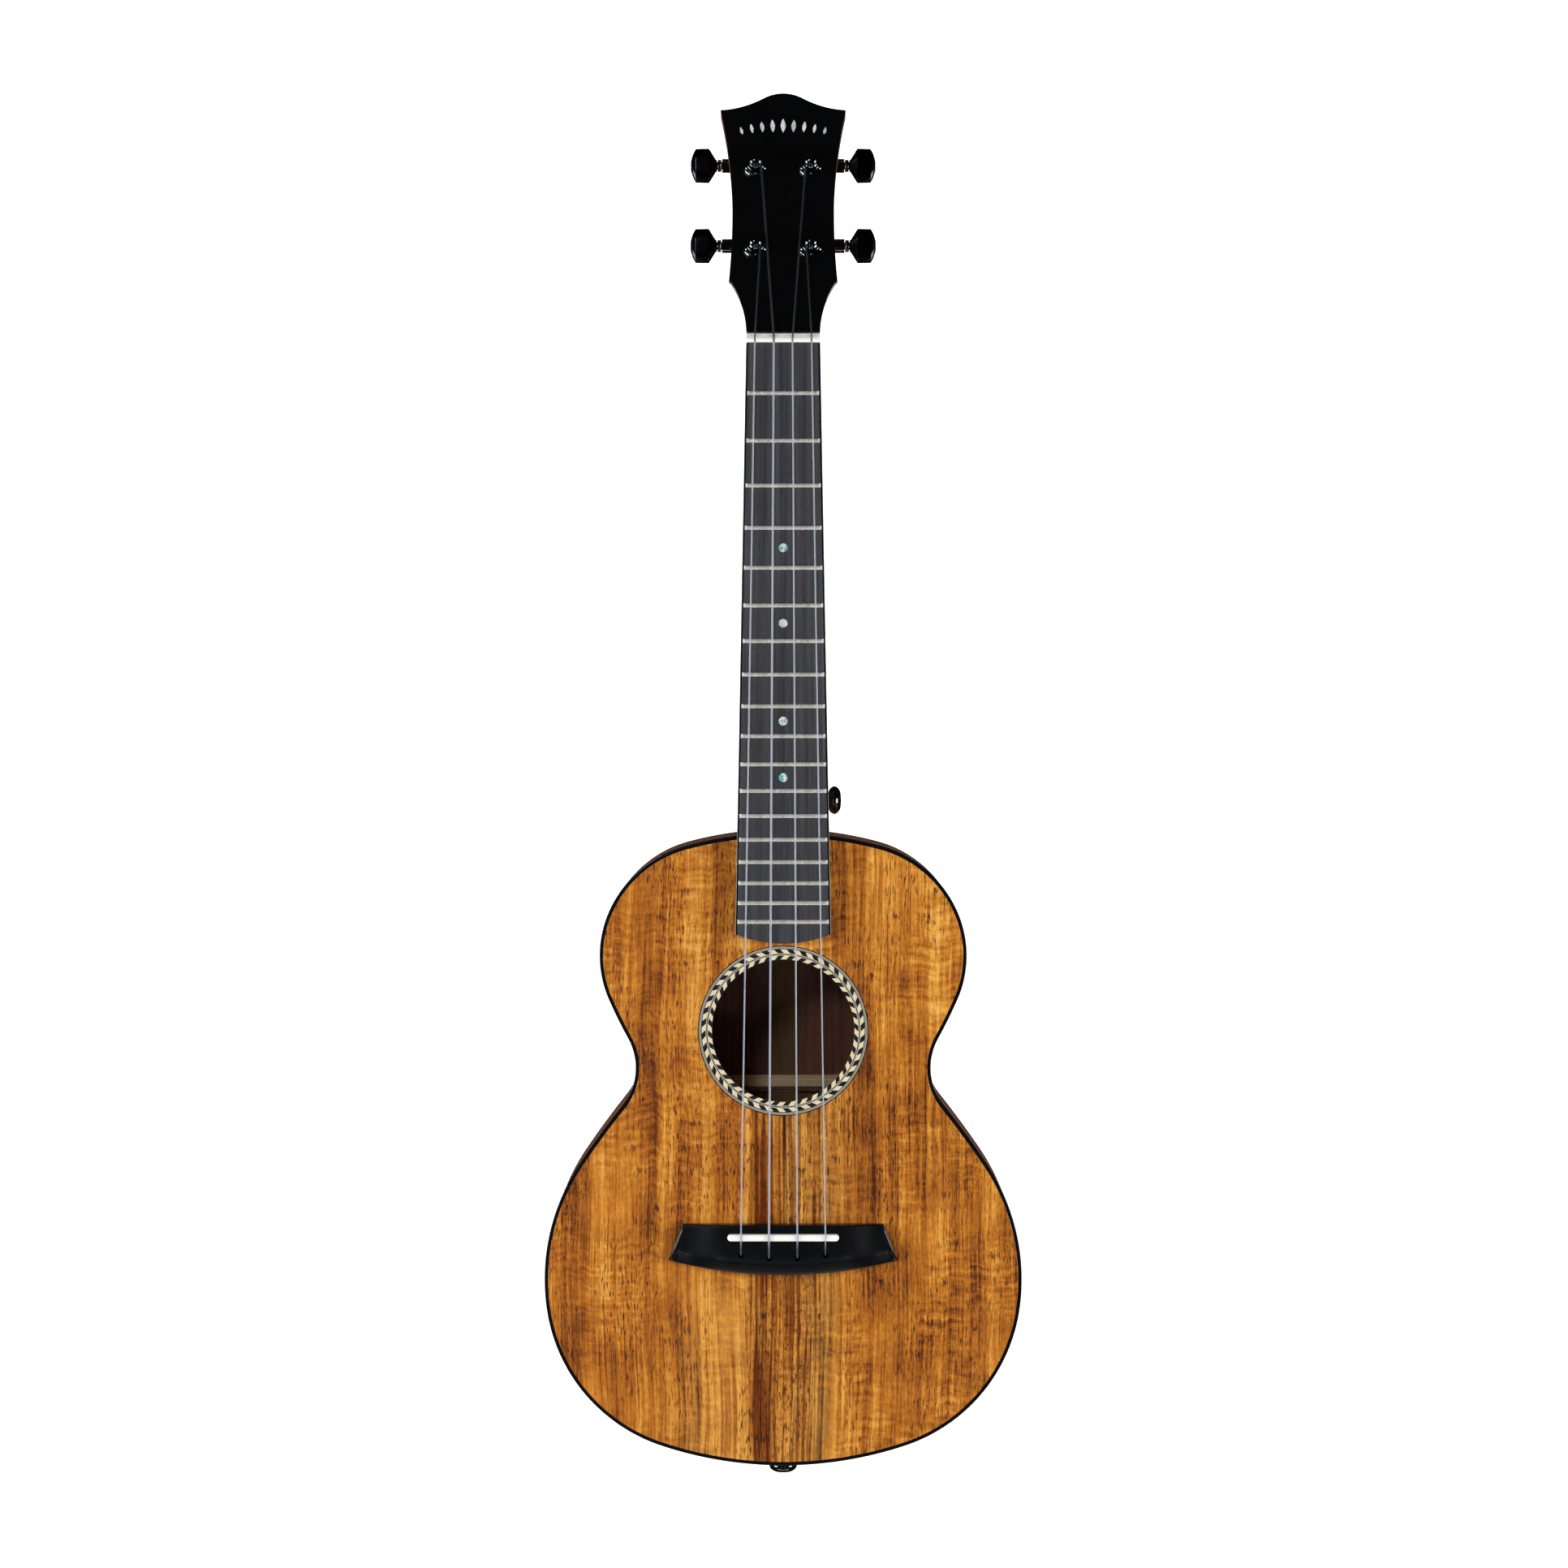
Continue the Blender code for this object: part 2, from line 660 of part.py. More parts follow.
def make_neck(head, mortise_low, mortise_high, bushing_holes):
    """Shaft, heel, tenon and the head's core, as one piece of wood."""
    crown = SADDLE_Y + CROWN_ABOVE_SADDLE
    stations = [NECK_END_Y, 160.0, 95.0, HEEL_START_Y]
    heel_steps = 7
    for index in range(1, heel_steps + 1):
        stations.append(HEEL_START_Y + (crown - HEEL_START_Y) * index / heel_steps)
    stations.append(crown - 4.0)
    neck = add_solid("neck", loft([neck_section(y) for y in stations]), "neck_wood")

    outside = prism(body_loop(-GAP), -10.0, BODY_DEPTH + 10.0)
    combine(neck, add_solid("heel_cutter", outside))
    tenon = box(
        (-TENON_HALF_WIDTH, crown - SIDE_THICKNESS - TENON_LENGTH, mortise_low),
        (TENON_HALF_WIDTH, crown + 2.0, mortise_high),
    )
    combine(neck, add_solid("tenon", tenon), "UNION")
    core_shape = prism(head_loop(0.0), -HEAD_THICKNESS, -VENEER_THICKNESS - GAP)
    core = add_solid("head_core", core_shape, parent=head)
    combine(neck, core, "UNION")
    combine(neck, bushing_holes)

    seat = HEEL_BUTTON_X - GAP
    spot = turned(((BUTTON_BASE_RADIUS + 0.6, seat), (BUTTON_BASE_RADIUS + 0.6, seat + 12.0)))
    screw = turned(((SHANK_RADIUS + GAP, seat - SHANK_LENGTH - 1.0), (SHANK_RADIUS + GAP, seat + 3.0)), 10)
    place = (0.0, HEEL_BUTTON_Y, HEEL_BUTTON_Z)
    for name, shape in (("heel_seat_cutter", spot), ("heel_screw_cutter", screw)):
        combine(neck, add_solid(name, shape, location=place, rotation=(0.0, 90.0, 0.0)))


def make_head_veneer(head, bushing_holes):
    """The black plate on the head's face."""
    veneer = add_solid("head_veneer", prism(head_loop(VENEER_START_V), -VENEER_THICKNESS, 0.0), "black_gloss",
                       parent=head)
    combine(veneer, bushing_holes)


def make_bushing_hole_cutter(head):
    """Four cylinders through the head."""
    holes = []
    for _, side, along in TUNERS:
        centre = (side * POST_X, along)
        holes.append(loft([circle(BUSHING_HOLE_RADIUS, -HEAD_THICKNESS - 6, 18, centre),
                           circle(BUSHING_HOLE_RADIUS, 6.0, 18, centre)]))
    return add_solid("bushing_hole_cutter", join(*holes), parent=head)


# Fingerboard, frets and nut


def fret_y(number):
    """Where a fret lies: each one is a semitone, the twelfth root of two."""
    return SADDLE_Y + SCALE_LENGTH / 2 ** (number / 12)


def make_fingerboard():
    """A tapered board with a curved end and blind slots for the frets."""
    low = BODY_DEPTH + GAP
    bulge = arc_through(BOARD_END_HALF_WIDTH, BOARD_END_HALF_WIDTH**2 / (2 * BOARD_END_ARC_RADIUS), 9)
    loop = [(-NUT_HALF_WIDTH, NUT_Y), (NUT_HALF_WIDTH, NUT_Y)]
    loop += [(x, BOARD_END_Y - rise) for x, rise in bulge]
    board = add_solid("fingerboard", prism(loop, low, low + BOARD_THICKNESS), "ebony")
    slots = []
    half_slot = TANG_WIDTH / 2 + GAP
    top = low + BOARD_THICKNESS
    for number in range(1, FRET_COUNT + 1):
        y = fret_y(number)
        reach = board_half_width(y) - SLOT_END_MARGIN + GAP
        slots.append(box((-reach, y - half_slot, top - TANG_DEPTH - GAP), (reach, y + half_slot, top + 2.0)))
    combine(board, add_solid("fret_slot_cutter", join(*slots)))


def fret_section(x, drop):
    """A fret's outline across: a round crown on a narrow tang. drop lowers the crown's edges."""
    base = BODY_DEPTH + GAP + BOARD_THICKNESS + GAP
    points = []
    for index in range(5):
        angle = math.pi * index / 4
        points.append((x, FRET_WIDTH / 2 * math.cos(angle), base + drop * FRET_HEIGHT * math.sin(angle)))
    return points


def make_frets():
    """Frets of nickel wire, each with bevelled ends and a tang that stops short of the board's edge."""
    base = BODY_DEPTH + GAP + BOARD_THICKNESS + GAP
    for number in range(1, FRET_COUNT + 1):
        y = fret_y(number)
        reach = board_half_width(y) - FRET_END_MARGIN
        tang = board_half_width(y) - SLOT_END_MARGIN
        rings = [fret_section(-reach, 0.1), fret_section(-reach + FRET_BEVEL, 1.0),
                 fret_section(reach - FRET_BEVEL, 1.0), fret_section(reach, 0.1)]
        place = (0.0, y, 0.0)
        fret = add_solid("fret_%02d" % number, loft(rings), "nickel", location=place, smooth_angle=50.0)
        blade = box((-tang, -TANG_WIDTH / 2, base - GAP - TANG_DEPTH), (tang, TANG_WIDTH / 2, base + GAP))
        combine(fret, add_solid("fret_tang", blade, location=(0.0, y, 0.0)), "UNION")


def make_nut():
    """A white block with a sloping back and four string slots."""
    front = NUT_Y + GAP
    back = front + NUT_THICKNESS
    low = BODY_DEPTH + GAP
    profile = ((front, low), (front, NUT_TOP_Z), (front + 1.5, NUT_TOP_Z),
               (back, NUT_TOP_Z - 2.2), (back, low))
    rings = [[(x, y, z) for y, z in profile] for x in (-NUT_HALF_WIDTH, NUT_HALF_WIDTH)]
    nut = add_solid("nut", loft(rings), "bone")
    slots = []
    for x, diameter in zip(NUT_STRING_X, STRING_DIAMETERS):
        half = diameter / 2 + GAP
        slots.append(box((x - half, front - 2, NUT_SLOT_FLOOR_Z), (x + half, back + 2, NUT_TOP_Z + 3)))
    combine(nut, add_solid("nut_slot_cutter", join(*slots)))


# Bridge and strings


def bridge_section(x):
    """The bridge across at one place: level on top, sloping to the tail, thin at the wings."""
    reach = abs(x)
    low = BODY_DEPTH + GAP
    top_y = BRIDGE_TOP_EDGE_Y
    if reach > BRIDGE_TOP_HALF_WIDTH:
        share = (reach - BRIDGE_TOP_HALF_WIDTH) / (BRIDGE_HALF_WIDTH - BRIDGE_TOP_HALF_WIDTH)
        top_y += (BRIDGE_CORNER_Y - BRIDGE_TOP_EDGE_Y) * share
    sag = BRIDGE_CORNER_Y - BRIDGE_LOW_EDGE_Y
    radius = (BRIDGE_HALF_WIDTH**2 + sag**2) / (2 * sag)
    low_y = BRIDGE_LOW_EDGE_Y + radius - math.sqrt(radius**2 - reach**2)
    fall = min(1.0, max(0.0, (reach - BRIDGE_SHOULDER) / (BRIDGE_TOP_HALF_WIDTH - BRIDGE_SHOULDER)))
    height = BRIDGE_HEIGHT + (BRIDGE_WING_HEIGHT - BRIDGE_HEIGHT) * math.sin(fall * math.pi / 2) ** 2
    ramp = min(BRIDGE_RAMP, (top_y - low_y) / 2)
    return [
        (x, top_y, low),
        (x, top_y, low + height),
        (x, low_y + ramp, low + height),
        (x, low_y, low + height * 0.55),
        (x, low_y, low),
    ]


def make_bridge(string_holes):
    """A black bridge with thin wings, slotted for the saddle and drilled for the strings."""
    stations = [0.0, 14.0, BRIDGE_SHOULDER, 33.0, 38.0, 43.0, BRIDGE_TOP_HALF_WIDTH, BRIDGE_HALF_WIDTH - 0.4]
    places = [-x for x in reversed(stations[1:])] + stations
    bridge = add_solid("bridge", loft([bridge_section(x) for x in places]), "bridge_wood")
    floor = BODY_DEPTH + GAP + BRIDGE_HEIGHT - SADDLE_SLOT_DEPTH
    reach = SADDLE_LENGTH / 2
    width = SADDLE_WIDTH / 2
    slot_low = (-reach - GAP, SADDLE_Y - width - GAP)
    slot_high = (reach + GAP, SADDLE_Y + width + GAP)
    slot_loop = rounded_rectangle(slot_low, slot_high, width + GAP)
    combine(bridge, add_solid("saddle_slot_cutter", prism(slot_loop, floor, floor + 20)))
    combine(bridge, string_holes)
    loop = rounded_rectangle((-reach, SADDLE_Y - width), (reach, SADDLE_Y + width), width)
    add_solid("saddle", prism(loop, floor + GAP, SADDLE_TOP_Z), "bone")


def head_point(x, along, out):
    """A point in the head's frame, in the instrument's frame."""
    tilt = math.radians(HEAD_TILT)
    return (
        x,
        HEAD_ORIGIN_Y + along * math.cos(tilt) + out * math.sin(tilt),
        HEAD_ORIGIN_Z - along * math.sin(tilt) + out * math.cos(tilt),
    )


def string_route(index):
    """From beside the post, over the nut and the saddle, and down through the bridge."""
    radius = STRING_DIAMETERS[index] / 2
    number = STRING_NUMBERS[index]
    side, along = next((side, along) for tuner, side, along in TUNERS if tuner == number)
    post_x = side * (POST_X - POST_WAIST_RADIUS - radius - GAP)
    nut_x = NUT_STRING_X[index]
    saddle_x = SADDLE_STRING_X[index]
    hole_x, hole_y = string_hole_places()[index]
    route = [
        head_point(post_x, along, POST_WAIST_Z),
        (nut_x, NUT_Y + 3.0, STRING_NUT_Z - 0.1),
        (nut_x, NUT_Y + 1.0, STRING_NUT_Z),
        (saddle_x, SADDLE_Y + 0.8, STRING_SADDLE_Z + radius - 0.4),
        (saddle_x, SADDLE_Y - 1.6, STRING_SADDLE_Z + radius - 0.8),
    ]
    over = Vector(route[-1])
    mouth = Vector((hole_x, hole_y, BODY_DEPTH + GAP + BRIDGE_HEIGHT + radius + 0.4))
    slope = (mouth - over).normalized()
    bend = mouth - slope * HOLE_BEND_RADIUS
    route.append(tuple(bend))
    for step in (0.35, 0.7):
        mix = bend.lerp(mouth, step).lerp(mouth + Vector((0, 0, -HOLE_BEND_RADIUS * step)), step)
        route.append(tuple(mix))
    route.append((hole_x, hole_y, mouth.z - HOLE_BEND_RADIUS))
    route.append((hole_x, hole_y, STRING_END_Z))
    return route


def make_strings():
    """Four strings, each one tube along its whole stretched route."""
    for index, number in enumerate(STRING_NUMBERS):
        curve = bpy.data.curves.new("string_%d" % number, "CURVE")
        curve.dimensions = "3D"
        curve.bevel_depth = STRING_DIAMETERS[index] / 2 * MM
        curve.bevel_resolution = 2
        curve.use_fill_caps = True
        route = string_route(index)
        spline = curve.splines.new("POLY")
        spline.points.add(len(route) - 1)
        for point, place in zip(spline.points, route):
            point.co = (*(Vector(place) * MM), 1.0)
        curve.materials.append(finish("nylon"))
        string = bpy.data.objects.new("string_%d" % number, curve)
        bpy.context.collection.objects.link(string)


# Tuning machines


def wheel_ring(height):
    """The toothed outline of a worm wheel at a height, twisted to follow the worm's thread."""
    lead_slope = TOOTH_PITCH / (2 * math.pi * WORM_PITCH_RADIUS)
    pitch_radius = WORM_OFFSET - WORM_PITCH_RADIUS
    twist = lead_slope / pitch_radius * (height + WORM_DEPTH)
    share = 2 * math.pi / WHEEL_TEETH
    corners = ((-0.30, WHEEL_ROOT_RADIUS), (-0.13, WHEEL_TIP_RADIUS),
               (0.13, WHEEL_TIP_RADIUS), (0.30, WHEEL_ROOT_RADIUS))
    ring = []
    for tooth in range(WHEEL_TEETH):
        for offset, radius in corners:
            angle = math.pi / 2 + twist + share * (tooth + offset)
            ring.append((radius * math.cos(angle), radius * math.sin(angle), height))
    return ring


def post_ring(radius, height):
    """A plain ring of the post, lined up with the wheel's teeth."""
    start = 90.0 - 180.0 / WHEEL_TEETH
    return circle(radius, height, WHEEL_TEETH, start=start)


def post_shape():
    """A string post: domed top, waist for the winding, plain shank, worm wheel and foot."""
    wheel_low = -WORM_DEPTH - WHEEL_HALF_THICKNESS
    wheel_high = -WORM_DEPTH + WHEEL_HALF_THICKNESS
    foot = HOUSING_BOTTOM + HOUSING_WALL + GAP
    return loft([
        post_ring(1.9, foot),
        post_ring(1.9, wheel_low),
        wheel_ring(wheel_low),
        wheel_ring(wheel_high),
        post_ring(POST_RADIUS - 0.4, wheel_high),
        post_ring(POST_RADIUS - 0.4, -HEAD_THICKNESS),
        post_ring(POST_RADIUS, -HEAD_THICKNESS),
        post_ring(POST_RADIUS, 4.2),
        post_ring(POST_WAIST_RADIUS, 5.0),
        post_ring(POST_WAIST_RADIUS, 7.0),
        post_ring(POST_RADIUS, 7.8),
        post_ring(POST_RADIUS, 9.0),
        post_ring(POST_RADIUS * 0.6, POST_TOP),
    ])


def thread_radius(phase):
    """The worm's radius at a place in its pitch: a trapezoid, with its crest at a whole number."""
    away = abs(phase - round(phase))
    share = min(1.0, max(0.0, (0.30 - away) / 0.18))
    return WORM_ROOT_RADIUS + (WORM_TIP_RADIUS - WORM_ROOT_RADIUS) * share


def worm_shape():
    """A worm on its shaft, along Z from the post's axis, with the collar next to the knob."""
    rings = [circle(1.2, -POST_X + 7.9, WORM_SIDES),
             circle(1.2, -WORM_TURNS * TOOTH_PITCH / 2 - 0.4, WORM_SIDES)]
    steps = WORM_TURNS * WORM_STEPS_PER_TURN
    for step in range(steps + 1):
        height = (step / WORM_STEPS_PER_TURN - WORM_TURNS / 2) * TOOTH_PITCH
        ring = []
        for side in range(WORM_SIDES):
            angle = 2 * math.pi * side / WORM_SIDES
            facing = angle + math.pi / 2
            radius = thread_radius(height / TOOTH_PITCH - facing / (2 * math.pi) + 0.5)
            ring.append((radius * math.cos(angle), radius * math.sin(angle), height))
        rings.append(ring)
    rings.append(circle(SHAFT_RADIUS, WORM_TURNS * TOOTH_PITCH / 2 + 0.4, WORM_SIDES))
    shaft = ((SHAFT_RADIUS, BOSS_END_X + GAP), (COLLAR_RADIUS, BOSS_END_X + GAP),
             (COLLAR_RADIUS, COLLAR_END_X), (SHAFT_RADIUS, COLLAR_END_X),
             (SHAFT_RADIUS, KNOB_NECK_X + 5.7))
    for radius, x in shaft:
        rings.append(circle(radius, x - POST_X, WORM_SIDES))
    return loft(rings)


def knob_shape():
    """A flat oval button with a round neck, bored for the shaft; along Z from the post's axis."""
    bore = SHAFT_RADIUS + GAP
    rings = [circle(bore, KNOB_NECK_X + 6.0 - POST_X), circle(bore, KNOB_NECK_X - POST_X)]
    sections = (  # distance from the middle of the head, half height, half thickness, squareness
        (KNOB_NECK_X, 2.9, 2.7, 2.0),
        (KNOB_NECK_X + 1.8, 3.6, 2.8, 2.0),
        (KNOB_NECK_X + 3.2, 7.2, 2.8, 2.4),
        (KNOB_NECK_X + 4.2, KNOB_HALF_HEIGHT, KNOB_HALF_THICKNESS, 2.6),
        (KNOB_END_X - 2.8, 7.95, 2.6, 2.6),
        (KNOB_END_X - 1.2, 6.8, 2.1, 2.4),
        (KNOB_END_X, 3.4, 1.1, 2.2),
    )
    for x, half_height, half_thickness, power in sections:
        rings.append(superellipse(half_thickness, half_height, x - POST_X, power))
    return loft(rings)


def bushing_shape():
    """A threaded bushing through the head, with a washer and a hexagon nut on its face."""
    count = 18
    hexagon = []
    for index in range(count):
        angle = 2 * math.pi * index / count
        offset = (angle + math.pi / 6) % (math.pi / 3) - math.pi / 6
        reach = HEX_APOTHEM / math.cos(offset)
        hexagon.append((reach * math.cos(angle), reach * math.sin(angle)))
    washer_top = GAP + 0.8
    hexagon_top = washer_top + 2.2
    rings = [
        circle(BUSHING_BORE_RADIUS, -HEAD_THICKNESS + GAP, count),
        circle(BUSHING_BORE_RADIUS, hexagon_top + 0.6, count),
        circle(4.3, hexagon_top + 0.6, count),
        circle(4.3, hexagon_top, count),
        [(x, y, hexagon_top) for x, y in hexagon],
        [(x, y, washer_top) for x, y in hexagon],
        circle(WASHER_RADIUS, washer_top, count),
        circle(WASHER_RADIUS, GAP, count),
        circle(BUSHING_TUBE_RADIUS, GAP, count),
        circle(BUSHING_TUBE_RADIUS, -HEAD_THICKNESS + GAP, count),
    ]
    return loft(rings, closed=True)


def make_housing(name, side, frame):
    """A cup over the gears, open to the head, with a boss that carries the shaft."""
    low = (-side * HOUSING_INNER_X, -HOUSING_LOW_Y)
    high = (side * HOUSING_OUTER_X, HOUSING_HIGH_Y)
    corners = ((min(low[0], high[0]), low[1]), (max(low[0], high[0]), high[1]))
    outer = rounded_rectangle(*corners, HOUSING_CORNER_RADIUS)
    wall = HOUSING_WALL
    inner = rounded_rectangle((corners[0][0] + wall, corners[0][1] + wall),
                              (corners[1][0] - wall, corners[1][1] - wall), HOUSING_CORNER_RADIUS - wall)
    housing = add_solid(name, prism(outer, HOUSING_BOTTOM, HOUSING_TOP), "black_chrome", parent=frame)
    place = (0.0, WORM_OFFSET, -WORM_DEPTH)
    turn = (0.0, 90.0 * side, 0.0)
    boss = turned(((BOSS_BASE_RADIUS, HOUSING_OUTER_X - 1.0), (BOSS_END_RADIUS, BOSS_END_X - POST_X)), 14)
    bore = turned(((SHAFT_RADIUS + GAP, HOUSING_OUTER_X - 4.0), (SHAFT_RADIUS + GAP, BOSS_END_X)), 12)
    cavity = prism(inner, HOUSING_BOTTOM + wall, HOUSING_TOP + 5.0)
    combine(housing, add_solid(name + "_boss", boss, location=place, rotation=turn, parent=frame), "UNION")
    combine(housing, add_solid(name + "_cavity", cavity, parent=frame))
    combine(housing, add_solid(name + "_bore", bore, location=place, rotation=turn, parent=frame))


def make_tuners(head):
    """Four sealed tuning machines, each with its own frame on its post's axis."""
    for number, side, along in TUNERS:
        name = "tuner_%d" % number
        post_axis = add_empty(name + "_post_axis", (side * POST_X, along, 0.0), parent=head)
        worm_place = (0.0, WORM_OFFSET, -WORM_DEPTH)
        knob_axis = add_empty(name + "_knob_axis", worm_place, (0.0, 90.0 * side, 0.0), post_axis)
        make_housing(name + "_housing", side, post_axis)
        add_solid(name + "_bushing", bushing_shape(), "black_chrome", parent=post_axis)
        add_solid(name + "_post", post_shape(), "black_chrome", parent=post_axis)
        add_solid(name + "_worm_shaft", worm_shape(), "steel", parent=knob_axis)
        add_solid(name + "_knob", knob_shape(), "black_chrome", parent=knob_axis)


# Strap buttons


def button_shape():
    """A mushroom-shaped strap button on its screw, turned about Z with its seat at zero."""
    return turned((
        (SHANK_RADIUS * 0.4, -SHANK_LENGTH),
        (SHANK_RADIUS, -SHANK_LENGTH + 3.0),
        (SHANK_RADIUS, 0.0),
        (BUTTON_BASE_RADIUS, 0.0),
        (BUTTON_BASE_RADIUS - 0.4, 1.0),
        (BUTTON_WAIST_RADIUS, 2.6),
        (BUTTON_WAIST_RADIUS + 0.4, 3.8),
        (BUTTON_RADIUS - 0.5, 4.8),
        (BUTTON_RADIUS, 5.8),
        (BUTTON_RADIUS - 0.7, 7.2),
        (BUTTON_RADIUS * 0.62, 8.3),
        (BUTTON_RADIUS * 0.25, BUTTON_HEIGHT),
    ))


def make_strap_buttons():
    """One button in the tail block and one on the treble side of the heel."""
    tail = body_half()[-1][1]
    add_solid("strap_button_tail", button_shape(), "black_plastic", location=(0.0, tail - GAP, TAIL_BUTTON_Z),
              rotation=(90.0, 0.0, 0.0))
    add_solid("strap_button_heel", button_shape(), "black_plastic",
              location=(HEEL_BUTTON_X, HEEL_BUTTON_Y, HEEL_BUTTON_Z), rotation=(0.0, 90.0, 0.0))


def main():
    """Build the instrument."""
    clear_scene()
    head = add_empty("head_frame", (0.0, HEAD_ORIGIN_Y, HEAD_ORIGIN_Z), (-HEAD_TILT, 0.0, 0.0))
    crown = SADDLE_Y + CROWN_ABOVE_SADDLE
    tail = body_half()[-1][1]
    mortise_shape = box(
        (-TENON_HALF_WIDTH - GAP, crown - SIDE_THICKNESS - TENON_LENGTH - GAP, TENON_LOW_Z - GAP),
        (TENON_HALF_WIDTH + GAP, crown + 5.0, TENON_HIGH_Z + GAP),
    )
    mortise = add_solid("mortise_cutter", mortise_shape)
    hole_radius = SHANK_RADIUS + GAP
    hole_shape = turned(((hole_radius, -SHANK_LENGTH - 2.0), (hole_radius, 4.0)), 10)
    button_hole = add_solid("button_hole_cutter", hole_shape, location=(0.0, tail, TAIL_BUTTON_Z),
                            rotation=(90.0, 0.0, 0.0))
    string_holes = string_hole_cutter()
    bushing_holes = make_bushing_hole_cutter(head)

    make_plates(string_holes)
    make_binding()
    make_sides(mortise, button_hole)
    make_blocks(mortise, button_hole)
    make_top_bracing(string_holes)
    make_back_bracing()
    make_neck(head, TENON_LOW_Z, TENON_HIGH_Z, bushing_holes)
    make_head_veneer(head, bushing_holes)
    make_fingerboard()
    make_frets()
    make_nut()
    make_bridge(string_holes)
    make_strings()
    make_tuners(head)
    make_strap_buttons()


main()
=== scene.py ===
"""The looks of a tenor ukulele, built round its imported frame.

Lengths are millimetres until a mesh is made. +Z leaves the soundboard, +Y runs from the tail to
the head and +X towards the treble side. Every shape is a surface worked out as whole arrays.
"""
import json
import logging
import math
from dataclasses import dataclass
from enum import Enum
from typing import Sequence

import bmesh
import bpy
import numpy as np
from mathutils import Matrix, Vector


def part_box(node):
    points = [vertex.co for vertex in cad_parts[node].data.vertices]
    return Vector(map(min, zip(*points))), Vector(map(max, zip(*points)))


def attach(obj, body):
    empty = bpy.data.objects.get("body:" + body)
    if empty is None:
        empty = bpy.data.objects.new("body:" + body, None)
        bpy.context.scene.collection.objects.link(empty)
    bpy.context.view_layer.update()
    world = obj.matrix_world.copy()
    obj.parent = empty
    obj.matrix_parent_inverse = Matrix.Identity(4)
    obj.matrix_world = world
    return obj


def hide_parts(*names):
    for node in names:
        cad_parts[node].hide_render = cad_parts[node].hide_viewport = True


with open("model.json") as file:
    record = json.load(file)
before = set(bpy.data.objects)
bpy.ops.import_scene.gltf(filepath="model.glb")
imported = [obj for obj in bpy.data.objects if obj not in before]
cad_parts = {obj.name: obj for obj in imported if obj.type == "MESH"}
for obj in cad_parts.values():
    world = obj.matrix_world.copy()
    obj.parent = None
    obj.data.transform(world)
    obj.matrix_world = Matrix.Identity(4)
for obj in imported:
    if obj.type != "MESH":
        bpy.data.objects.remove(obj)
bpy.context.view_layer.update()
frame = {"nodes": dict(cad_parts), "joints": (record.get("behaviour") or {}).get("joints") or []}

Array = np.ndarray
Colour = tuple[float, float, float]
MM = 0.001
HEM = 0.12  # width of the flat rim that keeps a flat face's shading flat
log = logging.getLogger("ukulele")


# Places and outlines


def grid_of(x: Array | float, y: Array | float, z: Array | float) -> Array:
    """Points whose coordinates are spread to one shape; the last axis is (x, y, z)."""
    return np.stack(np.broadcast_arrays(x, y, z), axis=-1)


def raised(flat: Array, height: float) -> Array:
    """Points of a plane, lifted to a height."""
    return np.column_stack([flat, np.full(len(flat), height)])


def full_turn(steps: int) -> Array:
    """Even angles all the way round."""
    return np.linspace(0.0, 2 * np.pi, steps, endpoint=False)


def about_axis(radius: Array, angle: Array, height: Array) -> Array:
    """Rings of points round the out direction: (r cos a, r sin a, h)."""
    return grid_of(radius * np.cos(angle), radius * np.sin(angle), height)


def bend(start: Array, corner: Array, end: Array, share: Array) -> Array:
    """A quadratic Bezier curve: (1-t)^2 start + 2t(1-t) corner + t^2 end."""
    return (1 - share) ** 2 * start + 2 * share * (1 - share) * corner + share**2 * end


@dataclass(frozen=True)
class Place:
    """A local frame: an origin with three directions at right angles."""

    origin: Array
    across: Array
    along: Array
    out: Array

    def put(self, local: Array) -> Array:
        """Points, with their coordinates last, moved from the local frame to the instrument's."""
        x, y, z = local[..., 0:1], local[..., 1:2], local[..., 2:3]
        return self.origin + x * self.across + y * self.along + z * self.out

    def moved(self, x: float, y: float, z: float) -> "Place":
        """The same directions round another origin, given in local millimetres."""
        return Place(self.put(np.array([x, y, z])), self.across, self.along, self.out)


HOME = Place(np.zeros(3), np.array([1.0, 0, 0]), np.array([0, 1.0, 0]), np.array([0, 0, 1.0]))


def joint_place(name: str) -> Place:
    """The frame of a hinge: its out direction is the hinge's axis, its across direction is +X or -Z.

    Args:
        name: the joint's name in the record.

    Returns:
        The frame, in millimetres.
    """
    joint = next(item for item in frame["joints"] if item["name"] == name)
    out = np.array(joint["axis"], float)
    across = np.array([0.0, 0.0, -1.0]) if abs(out[0]) > 0.5 else np.array([1.0, 0.0, 0.0])
    return Place(np.array(joint["pos_m"]) / MM, across, np.cross(out, across), out)


def node_box(name: str) -> tuple[Array, Array]:
    """The lowest and highest corners of a CAD node, in millimetres."""
    low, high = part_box(name)
    return np.array(low) / MM, np.array(high) / MM


def node_levels(name: str) -> tuple[float, float]:
    """How low and how high a CAD node reaches, in millimetres."""
    return tuple(corner[2] for corner in node_box(name))


